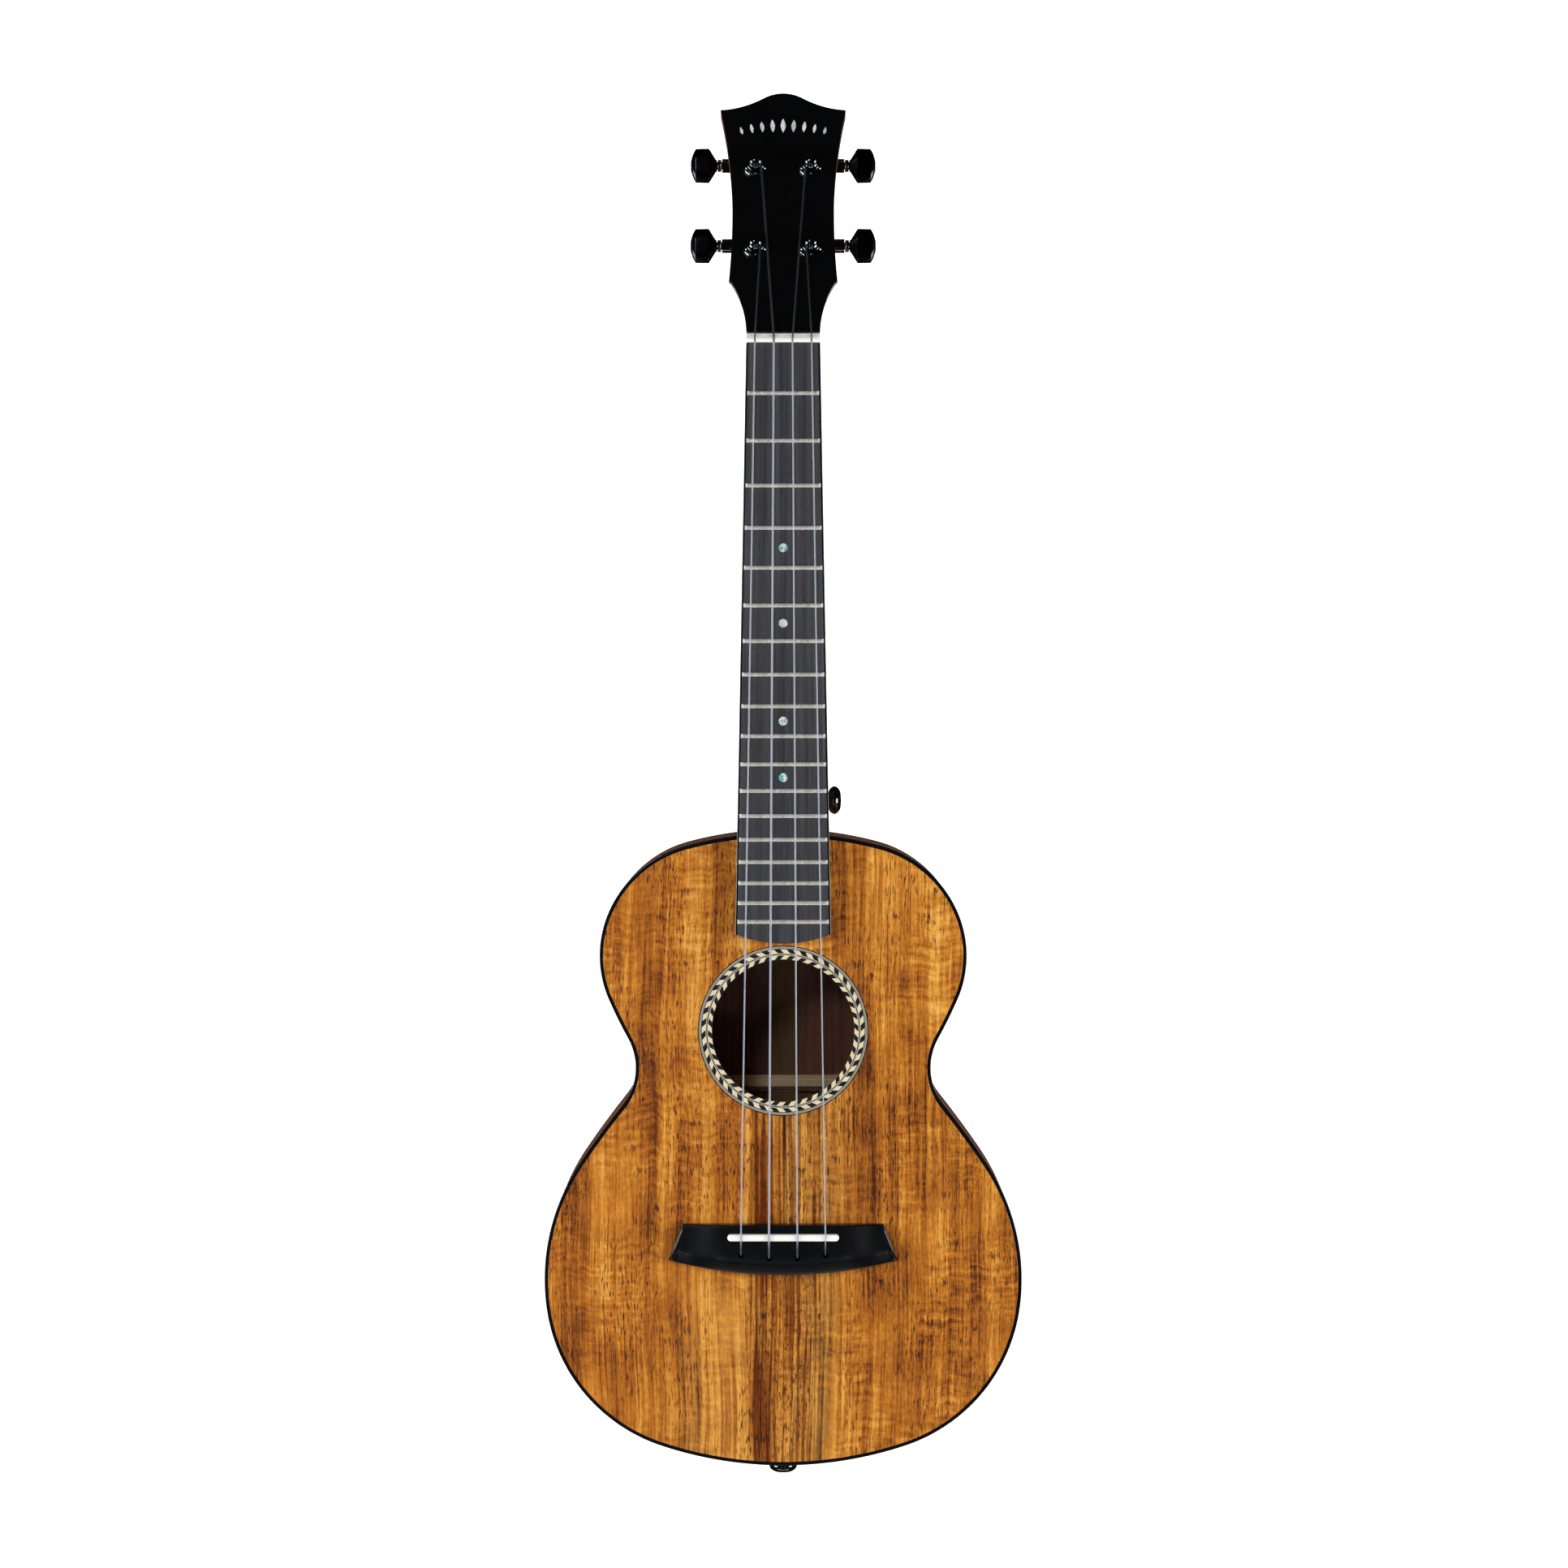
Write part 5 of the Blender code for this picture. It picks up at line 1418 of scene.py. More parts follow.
@dataclass(frozen=True)
class Neck:
    """The shaft with its heel, tenon and head core, as one piece of wood."""

    head: Head
    nut_y: float = 213.6
    board_end_y: float = -70.7
    nut_half_width: float = 17.8
    end_half_width: float = 23.1
    depth_at_nut: float = 14.0
    depth_at_heel: float = 16.0
    heel_start_y: float = 30.0
    heel_depth: float = 66.0
    cap_z: float = 4.0
    crown_y: float = -21.9
    volute_length: float = 34.0
    stations: int = 110
    columns: int = 48

    def half_width(self, y: Array | float) -> Array | float:
        """Half the fingerboard's width at a place along it."""
        share = (self.nut_y - y) / (self.nut_y - self.board_end_y)
        return self.nut_half_width + (self.end_half_width - self.nut_half_width) * share

    def shaft(self) -> Shell:
        """The shaft and heel: x = w cos a, z = top - d sin^0.85 a for a from 0 to a half turn.

        The depth d grows slowly to the heel and then with the 2.6th power; past the nut it fades
        into the back of the head.

        Returns:
            The closed surface.
        """
        head = self.head
        place = head.place()
        slope = place.along[2] / place.along[1]
        fade_start = self.nut_y - 2.0
        end = fade_start + self.volute_length
        y = np.concatenate([np.linspace(self.crown_y - 1.7, self.heel_start_y, self.stations // 2),
                            np.linspace(self.heel_start_y, end, self.stations)[1:]])
        heel = np.clip((self.heel_start_y - y) / (self.heel_start_y - self.crown_y), 0.0, 1.0)
        plain = self.depth_at_heel + (self.depth_at_nut - self.depth_at_heel) * np.clip(
            (y - self.heel_start_y) / (self.nut_y - self.heel_start_y), 0.0, 1.0)
        apex = 70.0 - plain - (self.heel_depth - self.depth_at_heel) * heel**2.6
        core_back = place.put(np.array([0.0, 0.0, -head.thickness]))
        core_front = place.put(np.array([0.0, 0.0, -head.plate_thickness - 0.3]))
        back = core_back[2] + slope * (y - core_back[1])
        front = core_front[2] + slope * (y - core_front[1])
        fade = np.clip((y - fade_start) / self.volute_length, 0.0, 1.0)
        drop = (back - apex)[np.argmax(fade > 0.0)]
        apex = np.where(fade > 0.0, back - drop * (1.0 - fade) ** 2, apex)
        top = np.minimum(70.0, front - 0.4)
        width = np.where(fade > 0.0, self.nut_half_width - 0.5 * fade, self.half_width(y))
        angle = np.linspace(0.0, np.pi, self.columns + 1)
        depth = (top - apex)[:, None]
        z = top[:, None] - depth * np.sin(angle) ** 0.85
        rows = grid_of(width[:, None] * np.cos(angle), y[:, None], np.maximum(z, self.cap_z))
        return Shell.grid(rows).capped(self.columns + 1)

    def build(self) -> None:
        """Build the neck from its shaft, with the head's core and the tenon joined on."""
        head = self.head
        layers = rounded_layers(-head.thickness, -head.plate_thickness - 0.03, 1.6, 0.05)
        core = stack(head.outline(), layers)
        near_nut = np.clip((head.ear_v + 5.0 - core.points[:, 1]) / 6.0, 0.0, 1.0)
        core.points[:, 1] -= 0.27 * core.points[:, 2] * near_nut
        core = core.placed(head.place())
        tenon = block((-7.5, self.crown_y - 18.5, 18.0), (7.5, self.crown_y + 2.0, 62.0), 0.3)
        low, high = node_box("strap_button_heel")
        middle = (low + high) / 2 * np.array([0.0, 1.0, 1.0])
        axis = Place(middle, HOME.out, HOME.along, HOME.across)
        seat = turned(((5.2, 19.3), (5.2, 40.0))).placed(axis)
        bore = turned(((2.3, 5.0), (2.3, 21.0))).placed(axis)
        tools = ((Cut.ON, core), (Cut.ON, tenon), (Cut.AWAY, seat), (Cut.AWAY, bore), *head.holes())
        job = Job("carved_neck", "neck_wood", ("neck",), tools=tools, sharp=40.0)
        make_piece(job, self.shaft(), Wood.NECK)


# Fingerboard, frets and nut


@dataclass(frozen=True)
class Fingerboard:
    """The board with its edge strips, frets, position dots and nut."""

    neck: Neck
    scale_length: float = 430.0
    fret_count: int = 18
    dot_frets: tuple[int, ...] = (5, 7, 10, 12)
    dot_radius: float = 2.1
    side_dot_radius: float = 1.0
    strip_width: float = 1.0
    end_arc_radius: float = 65.6
    fret_half_width: float = 1.0
    fret_height: float = 1.15
    tang_half_width: float = 0.28

    def fret_y(self, number: float) -> float:
        """Where a fret lies: each one is the twelfth root of two nearer the saddle."""
        return self.neck.nut_y - self.scale_length + self.scale_length / 2 ** (number / 12)

    def levels(self) -> tuple[float, float]:
        """The board's underside, sunk into the neck, and its top."""
        low, high = node_levels("fingerboard")
        return low - 0.25, high

    def build(self) -> None:
        """Build the board and all that it carries."""
        self.build_board()
        self.build_strips()
        self.build_frets()
        self.build_dots()
        self.build_nut()

    def build_board(self) -> None:
        """The board between its strips: straight tapering edges and an arc at the body end."""
        neck = self.neck
        start, end = neck.half_width(neck.nut_y), neck.half_width(neck.board_end_y)
        inset = self.strip_width + 0.02
        sweep = math.asin(end / self.end_arc_radius)
        angle = np.linspace(-sweep, sweep, 33)
        rise = self.end_arc_radius * (np.cos(angle) - math.cos(sweep))
        scale = (end - inset) / end
        arc = np.column_stack([self.end_arc_radius * np.sin(angle) * scale, neck.board_end_y - rise])
        share = np.linspace(0.0, 1.0, 24)[1:-1, None]
        corners = np.array([[start - inset, neck.nut_y], [inset - start, neck.nut_y]])
        right = arc[-1] + (corners[0] - arc[-1]) * share
        left = corners[1] + (arc[0] - corners[1]) * share
        outline = Outline.through(np.vstack([arc, right, corners, left]))
        shell = plate(outline, *self.levels(), 0.05, 0.12)
        make_piece(Job("board", "ebony", ("fingerboard",)), shell, BoardWood())

    def build_strips(self) -> None:
        """A black strip down each edge of the board, rounded where the hand runs."""
        (low, high), neck, wide = self.levels(), self.neck, self.strip_width
        section = softened(((wide, low), (0.0, low), (0.0, high - 0.02), (wide, high - 0.02)), 0.75)
        y = np.linspace(neck.board_end_y, neck.nut_y - 0.05, 60)[:, None]
        bass, treble = (Shell.grid(grid_of(side * (neck.half_width(y) - section[:, 0]), y, section[:, 1]))
                        .capped(len(section)) for side in (-1.0, 1.0))
        make_piece(Job("board_edge_strips", "black_binding"), bass + treble, Wood.BINDING)

    def build_frets(self) -> None:
        """Frets: a half-ellipse crown, with ends that lean inwards as they rise, and a tang below."""
        angle = np.linspace(0.0, np.pi, 17)
        crown_y = self.fret_half_width * np.cos(angle)
        crown_z = self.fret_height * np.sin(angle) ** 0.75
        tang = self.tang_half_width
        across = np.concatenate([crown_y, [-tang, -tang, tang, tang]])
        height = np.concatenate([crown_z, [0.0, -1.2, -1.2, 0.0]])
        lean = np.clip(height, 0.0, None)
        keep = np.where(height < -0.5, 1.4, 0.0)
        for number in range(1, self.fret_count + 1):
            y = self.fret_y(number)
            ends = self.neck.half_width(y) - self.strip_width - lean - keep
            x = np.stack([-ends, -ends + 0.4, -ends * 0.5, 0.0 * ends, ends * 0.5, ends - 0.4, ends])
            rows = grid_of(x, y + across, self.levels()[1] + 0.03 + height)
            job = Job("fret_wire_%02d" % number, "fret_nickel", ("fret_%02d" % number,), sharp=45.0)
            make_piece(job, Shell.grid(rows).capped(len(across)), Wood.NICKEL)

    def build_dots(self) -> None:
        """Pearl dots between the strings, each turned its own way, and white dots on the bass edge."""
        low, high = self.levels()
        for order, number in enumerate(self.dot_frets):
            middle = (self.fret_y(number) + self.fret_y(number - 1)) / 2
            radius = self.dot_radius
            disc = turned(((radius, -0.6), (radius, 0.02), (radius - 0.08, 0.03)), 0, 40)
            place = HOME.moved(0.0, middle, high)
            finish = Pearl("dot_%d" % number, 0.7 + 1.9 * order, (0.8, 0.3, 0.55, 1.0)[order])
            make_piece(Job("position_dot_%02d" % number, "rosette_inlay"), disc.placed(place), finish)
            edge = np.array([-self.neck.half_width(middle), middle, (low + 0.25 + high) / 2])
            side = Place(edge, HOME.along, HOME.out, -HOME.across)
            radius = self.side_dot_radius
            small = turned(((radius, -0.5), (radius, 0.0), (radius - 0.1, 0.03)), 0, 24).placed(side)
            make_piece(Job("side_dot_%02d" % number, "bone"), small, Bone())

    def build_nut(self) -> None:
        """The nut: a front face, a level top, a sloping rounded back, and four round-bottomed slots."""
        low = self.levels()[0]
        corner_low, corner_high = node_box("nut")
        front, back, top = corner_low[1] - 0.22, corner_high[1], corner_high[2]
        half = corner_high[0]
        profile = softened(((front, low), (front, top), (front + 1.7, top), (back, top - 2.3),
                            (back, low)), 0.7)
        shrink = np.array([0.5, 0.2, 0.06, 0.0, 0.0, 0.06, 0.2, 0.5])
        x = half * np.array([-1, -0.994, -0.985, -0.97, 0.97, 0.985, 0.994, 1.0])
        middle = np.array([(front + back) / 2, (low + top) / 2])
        pull = 1 - shrink[:, None, None] / np.array([back - front, top - low])
        section = middle + (profile - middle)[None] * pull
        section[..., 1] = np.maximum(section[..., 1], low)
        rows = grid_of(x[:, None], section[..., 0], section[..., 1])
        slots = tuple((Cut.AWAY, line.groove()) for line in PlayedString.all())
        job = Job("string_nut", "bone", ("nut",), tools=slots)
        make_piece(job, Shell.grid(rows).capped(len(profile)), Bone())


# Bridge, saddle and strings


@dataclass(frozen=True)
class Bridge:
    """The black bridge: level in the middle, hollowed down to thin wings, with a white saddle."""

    top_y: float = -210.3
    corner_y: float = -227.9
    low_y: float = -234.9
    top_half_width: float = 48.3
    half_width: float = 55.4
    height: float = 7.7
    wing_height: float = 4.0
    shoulder: float = 28.0
    ramp: float = 6.0
    saddle_y: float = -216.1
    saddle_half_length: float = 26.8
    saddle_half_width: float = 1.65
    saddle_slot: float = 5.5

    def build(self) -> None:
        """Build the bridge and its saddle."""
        self.build_body()
        self.build_saddle()

    def build_body(self) -> None:
        """Sections across the bridge: a front edge, a level top, a ramp to the tail edge.

        The height falls from the middle to the wings by sin^2 over the shoulder; the tail edge is
        an arc, and the front edge slants in at the ends.
        """
        low = node_levels("bridge")[0] - 0.25
        x = np.concatenate([np.linspace(0.0, self.shoulder, 8)[:-1],
                            np.linspace(self.shoulder, self.top_half_width, 28)[:-1],
                            [self.top_half_width - 0.15],
                            np.linspace(self.top_half_width, self.half_width - 0.25, 14)])
        x = np.unique(np.concatenate([-x, x]))
        reach = np.abs(x)
        over = np.clip((reach - self.top_half_width) / (self.half_width - self.top_half_width), 0.0, 1.0)
        front = self.top_y + (self.corner_y - self.top_y) * over
        sag = self.corner_y - self.low_y
        radius = (self.half_width**2 + sag**2) / (2 * sag)
        rear = self.low_y + radius - np.sqrt(radius**2 - reach**2)
        fall = np.clip((reach - self.shoulder) / (self.top_half_width - self.shoulder), 0.0, 1.0)
        tall = self.height + (self.wing_height - self.height) * np.sin(fall * np.pi / 2) ** 2
        tall = tall * (1.0 - 0.12 * over)
        ramp = np.minimum(self.ramp, (front - rear) / 2)
        chamfer = np.minimum(0.12 * ramp + 1.9 * np.clip(over / 0.06, 0.0, 1.0), (front - rear) * 0.28)
        top = low + tall
        corners = np.stack([grid_of(*corner, x)[..., :2] for corner in (
            (front, low), (front, top - 0.5), (front - chamfer, top), (rear + ramp, top),
            (rear + 0.3, low + tall * 0.55 + 0.3), (rear, low + tall * 0.45), (rear, low))])
        share = np.linspace(0.0, 1.0, 5)[:, None, None]
        rows = [corners[:1]]
        for before, corner, after in zip(corners, corners[1:], corners[2:]):
            start, end = corner + (before - corner) * 0.22, corner + (after - corner) * 0.22
            rows.append(bend(start, corner, end, share))
        section = np.concatenate([*rows, corners[-1:]]).transpose(1, 0, 2)
        grid = grid_of(x[:, None], section[..., 0], section[..., 1])
        floor = low + self.height - self.saddle_slot
        tools = [(Cut.AWAY, stack(self.saddle_outline(0.06), ((0.0, floor), (0.0, floor + 20.0))))]
        for line in PlayedString.all():
            hole = ((1.15, -3.0), (1.15, line.mouth_z() - 0.8), (1.75, line.mouth_z() + 0.45), (1.75, 95.0))
            tools.append((Cut.AWAY, turned(hole, 0.0, 28).placed(HOME.moved(line.hole_x, line.hole_y, 0.0))))
        job = Job("string_bridge", "bridge_wood", ("bridge",), tools=tuple(tools), sharp=48.0)
        make_piece(job, Shell.grid(grid).capped(section.shape[1]), BlackSatin())

    def saddle_outline(self, room: float) -> Outline:
        """A bar with round ends: the saddle, or its slot.

        Args:
            room: how much wider than the saddle it is on each side.

        Returns:
            The outline.
        """
        reach = np.array([self.saddle_half_length + room, self.saddle_half_width + room])
        middle = np.array([0.0, self.saddle_y])
        return Outline.rounded_box(middle - reach, middle + reach, reach[1] - 0.01)

    def build_saddle(self) -> None:
        """The saddle, whose top is crowned along the strings."""
        low, high = node_levels("saddle")
        shell = stack(self.saddle_outline(0.0), rounded_layers(low - 0.2, high, 0.05, 0.95, 7))
        make_piece(Job("string_saddle", "bone", ("saddle",)), shell, Bone())


@dataclass(frozen=True)
class PlayedString:
    """One string, from the winding on its post to the knot under the bridge plate."""

    number: int
    diameter: float
    nut_x: float
    saddle_x: float
    hole_x: float
    hole_y: float
    side: float
    leave_height: float = 6.0
    waist_radius: float = 2.0
    nut_z: float = 77.1
    end_z: float = 60.6

    @classmethod
    def all(cls) -> list["PlayedString"]:
        """The four strings, from the bass side."""
        return [cls(4, 0.75, -13.6, -20.3, -20.3, -225.0, -1.0), cls(3, 1.0, -4.5, -6.8, -6.8, -226.4, -1.0),
                cls(2, 0.8, 4.5, 6.8, 6.8, -226.4, 1.0), cls(1, 0.7, 13.6, 20.3, 20.3, -225.0, 1.0)]

    def mouth_z(self) -> float:
        """The bridge's top at the string's hole."""
        return node_levels("bridge")[1]

    def post(self) -> Place:
        """The frame of the post that winds this string."""
        return joint_place("tuner_%d_post_turn" % self.number)

    def groove(self) -> Shell:
        """The slot that the string needs in the nut: half round below, straight above.

        Returns:
            The closed surface to cut away.
        """
        radius = self.diameter / 2 + 0.06
        low, high = node_box("nut")
        angle = np.linspace(0.4, np.pi - 0.4, 7)
        curve = -radius * np.column_stack([np.cos(angle), np.sin(angle)])
        section = np.vstack([[[-radius, 4.0], [-radius, 0.0]], curve, [[radius, 0.0], [radius, 4.0]]])
        ends = np.array([[low[1] - 3.0, self.nut_z + 0.12], [low[1] + 1.2, self.nut_z - 0.02],
                         [high[1] + 3.0, self.nut_z - 1.35]])
        rows = grid_of(self.nut_x + section[:, 0], ends[:, :1], ends[:, 1:] + section[:, 1])
        return Shell.grid(rows).capped(len(section))

    def route(self) -> Array:
        """The stretched string's centre line: off its post, over nut and saddle, down its hole.

        Returns:
            The line's points.
        """
        post, radius = self.post(), self.diameter / 2
        nut_low, nut_high = node_box("nut")
        saddle = node_box("saddle")
        crest_y, crest_z = (saddle[0][1] + saddle[1][1]) / 2, saddle[1][2] + radius + 0.02
        leave = post.put(np.array([-self.side * (self.waist_radius + radius + 0.02), 0.0, self.leave_height]))
        mouth = self.mouth_z()
        corners = [leave, (self.nut_x, nut_low[1] + 2.2, self.nut_z - 0.05),
                   (self.nut_x, nut_low[1] + 0.6, self.nut_z),
                   (self.saddle_x, crest_y + 0.5, crest_z), (self.saddle_x, crest_y - 0.8, crest_z - 0.15),
                   (self.hole_x, self.hole_y + 0.9, mouth + radius + 0.35),
                   (self.hole_x, self.hole_y + 0.1, mouth - 1.4), (self.hole_x, self.hole_y, self.end_z)]
        return softened(corners, 1.6, 8)

    def build(self) -> None:
        """Build the string, its winding and its knot."""
        name = "string_%d" % self.number
        line = tube(self.route(), self.diameter / 2, (1.0, 0.0, 0.0), 16)
        make_piece(Job("stretched_" + name, "string_nylon", (name,), sharp=60.0), line, StringLine())
        self.build_winding()
        self.build_knot()

    def build_winding(self) -> None:
        """Two turns on the post's waist, then in through the post: a helix (r cos a, r sin a, h)."""
        radius = self.diameter / 2
        turn = np.linspace(0.04, 2.1, 128)
        start = np.pi if self.side > 0 else 0.0
        angle = start - self.side * 2 * np.pi * turn
        height = self.leave_height - 0.55 * self.diameter * turn
        swell = np.clip(5.0 - height, 0.0, None) * 1.3
        dive = np.clip((turn - 1.95) / 0.15, 0.0, 1.0)
        reach = (self.waist_radius + radius + 0.03 + swell) * (1.0 - 0.8 * dive)
        reach = reach + 0.45 * radius * np.clip(turn - 1, 0, 1)
        path = about_axis(reach, angle, height)
        body = "tuner_%d_post" % self.number
        job = Job("string_%d_winding" % self.number, "string_nylon", body=body, sharp=60.0)
        make_piece(job, tube(path, radius, (0.0, 0.0, 1.0), 10).placed(self.post()), StringLine())

    def build_knot(self) -> None:
        """A trefoil knot under the bridge plate: (sin t + 2 sin 2t, cos t - 2 cos 2t, -sin 3t)."""
        t = np.linspace(0.0, 2 * np.pi, 97)
        size = 0.62 * self.diameter
        knot = grid_of(np.sin(t) + 2 * np.sin(2 * t), np.cos(t) - 2 * np.cos(2 * t), -1.1 * np.sin(3 * t))
        place = HOME.moved(self.hole_x, self.hole_y, self.end_z - 1.1 * self.diameter)
        job = Job("string_%d_knot" % self.number, "string_nylon", sharp=60.0)
        shell = tube(knot * size, self.diameter / 2, (0.35, 0.2, 1.0), 10)
        make_piece(job, shell.placed(place), StringLine())


# Tuning machines


@dataclass(frozen=True)
class TuningMachine:
    """A sealed machine: housing, bushing, post with its wheel, worm shaft, knob and screws."""

    number: int
    side: float
    post_x: float = 13.35
    worm_depth: float = 20.0
    head_thickness: float = 14.0
    housing_top: float = -14.15
    housing_bottom: float = -25.7
    wall: float = 1.3
    teeth: int = 14
    pitch: float = 2.0
    worm_turns: float = 3.0
    knob_start: float = 32.3
    knob_end: float = 45.1
    boss_end: float = 29.8
    collar_end: float = 32.0

    def name(self, piece: str) -> str:
        """A piece's name on this machine."""
        return "machine_%d_%s" % (self.number, piece)

    def node(self, piece: str) -> str:
        """A CAD node's name on this machine."""
        return "tuner_%d_%s" % (self.number, piece)

    def post_place(self) -> Place:
        """The post's frame, from its joint."""
        return joint_place(self.node("post_turn"))

    def shaft_place(self) -> Place:
        """The worm shaft's frame, whose out direction runs to the knob.

        Returns:
            The frame, with its origin in the post's plane.
        """
        joint = joint_place(self.node("knob_turn"))
        if self.side > 0:
            return joint
        return Place(joint.origin, joint.across, -joint.along, -joint.out)

    def build(self) -> None:
        """Build every piece of the machine."""
        self.build_housing()
        self.build_bushing()
        self.build_post()
        self.build_worm_shaft()
        self.build_knob()
        self.build_screws()

    def build_housing(self) -> None:
        """A cast box with round corners and a seam, hollow towards the head, and a boss for the shaft."""
        inner, outer = -7.35, 6.95
        low_x, high_x = (inner, outer) if self.side > 0 else (-outer, -inner)
        outline = Outline.rounded_box((low_x, -6.6), (high_x, 11.2), 3.0)
        seam = -16.6
        layers = rounded_layers(self.housing_bottom, self.housing_top, 1.5, 0.25)
        split = next(index for index, layer in enumerate(layers) if layer[1] > seam)
        groove = [(0.0, seam - 0.22), (0.25, seam - 0.1), (0.25, seam + 0.1), (0.0, seam + 0.22)]
        body = stack(outline, layers[:split] + groove + layers[split:])
        wall = self.wall
        hollow = Outline.rounded_box((low_x + wall, -6.6 + wall), (high_x - wall, 11.2 - wall), 3.0 - wall)
        cavity = stack(hollow, ((0.0, self.housing_bottom + wall), (0.0, 0.0)))
        boss = turned(((3.9, outer - 1.0), (3.85, outer + 3.0), (3.4, outer + 4.2),
                       (3.4, self.boss_end - self.post_x)), 0.5)
        bore = turned(((2.1, outer - 4.0), (2.1, self.boss_end)))
        lug = plate(Outline.ellipse(3.1, 3.6, 2.4), -15.9, -14.15, 0.5, 0.1)
        place, shaft = self.post_place(), self.shaft_place()
        lug_place = place.moved(-self.side * 3.2, -8.0, 0.0)
        tools = ((Cut.ON, boss.placed(shaft)), (Cut.ON, lug.placed(lug_place)),
                 (Cut.AWAY, cavity.placed(place)), (Cut.AWAY, bore.placed(shaft)))
        job = Job(self.name("housing"), "black_chrome", (self.node("housing"),), tools=tools)
        make_piece(job, body.placed(place), Wood.CHROME)

    def build_bushing(self) -> None:
        """A threaded tube through the head with a dished washer, a chamfered hexagon and a collar."""
        angle = full_turn(72)
        facet = np.mod(angle + np.pi / 6, np.pi / 3) - np.pi / 6
        hexagon = 5.05 / np.cos(facet)
        bottom = -self.head_thickness + 0.3
        thread = np.arange(bottom, -2.6, 0.35)
        ridge = 4.62 + 0.12 * np.cos(2 * np.pi * (thread - bottom) / 0.7)
        collar = np.array([(3.45, bottom), (3.45, 3.7), (3.6, 3.9), (4.15, 3.9), (4.3, 3.75), (4.3, 3.3)])
        nut = np.array([(0.0, 3.3), (0.8, 3.05), (1.0, 2.7), (1.0, 1.15)])  # share of the hexagon, height
        washer = np.array([(6.25, 1.1), (6.6, 0.9), (6.7, 0.55), (6.7, 0.05), (4.7, 0.05), (4.7, -2.3)])
        share = nut[:, :1]
        facets = np.where(share < 1, np.minimum(hexagon, 5.2) * (1 - share) + hexagon * share, hexagon)
        outside = np.vstack([washer, np.column_stack([ridge, thread])[::-1]])
        radius = np.vstack([collar[:, :1] + 0 * angle, facets, outside[:, :1] + 0 * angle])
        height = np.concatenate([collar[:, 1], nut[:, 1], outside[:, 1]])[:, None]
        shell = Shell.grid(about_axis(radius, angle, height), rows_meet=True)
        job = Job(self.name("bushing"), "black_chrome", (self.node("bushing"),), sharp=28.0)
        make_piece(job, shell.placed(self.post_place()), Wood.CHROME)

    def build_post(self) -> None:
        """The post, turned, with its worm wheel: the radius swells at each of fourteen teeth."""
        sides = self.teeth * 12
        wheel = (-self.worm_depth - 1.5, -self.worm_depth + 1.5)
        foot = self.housing_bottom + self.wall + 0.3
        profile = softened((
            (1.9, foot), (1.9, wheel[0]), (4.3, wheel[0]), (4.3, wheel[1]), (2.8, wheel[1]),
            (2.8, -self.head_thickness), (3.2, -13.6), (3.2, 4.2), (2.0, 5.0), (2.0, 7.0), (3.2, 7.6),
            (3.2, 8.1), (2.75, 8.69), (2.0, 9.16), (1.0, 9.51), (0.3, 9.62)), 0.22, 4)
        radius, height = profile[:, :1], profile[:, 1:]
        toothed = np.clip((radius - 3.3) / 0.8, 0.0, 1.0)
        angle = full_turn(sides)
        twist = self.pitch / (2 * np.pi * 2.3) / 4.5 * (height + self.worm_depth)
        wave = np.cos(self.teeth * (angle - np.pi / 2 - twist))
        rows = about_axis(radius + toothed * 0.6 * np.clip(wave * 1.8, -1.0, 1.0), angle, height)
        job = Job(self.name("post"), "black_chrome", (self.node("post"),), self.node("post"))
        make_piece(job, Shell.grid(rows).capped(sides).placed(self.post_place()), Wood.CHROME)

    def build_worm_shaft(self) -> None:
        """The worm: a trapezoid thread r(h/p - a/2pi) on its shaft, and the collar beside the knob."""
        angle = full_turn(48)
        half = self.worm_turns * self.pitch / 2
        height = np.linspace(-half, half, 61)
        phase = height[:, None] / self.pitch - self.side * (angle + np.pi / 2) / (2 * np.pi) + 0.5
        away = np.abs(phase - np.round(phase))
        taper = np.clip((half - np.abs(height)) / 0.5, 0.0, 1.0)[:, None]
        thread = 1.5 + 1.1 * np.clip((0.30 - away) / 0.18, 0.0, 1.0) * taper
        start = np.array([(0.9, -5.6), (1.2, -5.3), (1.2, -half - 0.3)])
        collar, end = self.boss_end + 0.8 - self.post_x, self.collar_end - self.post_x
        shaft = softened(((1.8, half + 0.4), (1.8, collar), (2.95, collar), (2.95, end), (1.8, end),
                          (1.8, self.knob_start + 5.6 - self.post_x)), 0.3, 4)
        radius = np.vstack([start[:, :1] + 0 * angle, thread, shaft[:, :1] + 0 * angle])
        level = np.concatenate([start[:, 1], height, shaft[:, 1]])[:, None]
        shell = Shell.grid(about_axis(radius, angle, level)).capped(len(angle))
        job = Job(self.name("worm_shaft"), "gear_steel", (self.node("worm_shaft"),), self.node("knob"))
        make_piece(job, shell.placed(self.shaft_place()), Wood.CHROME)

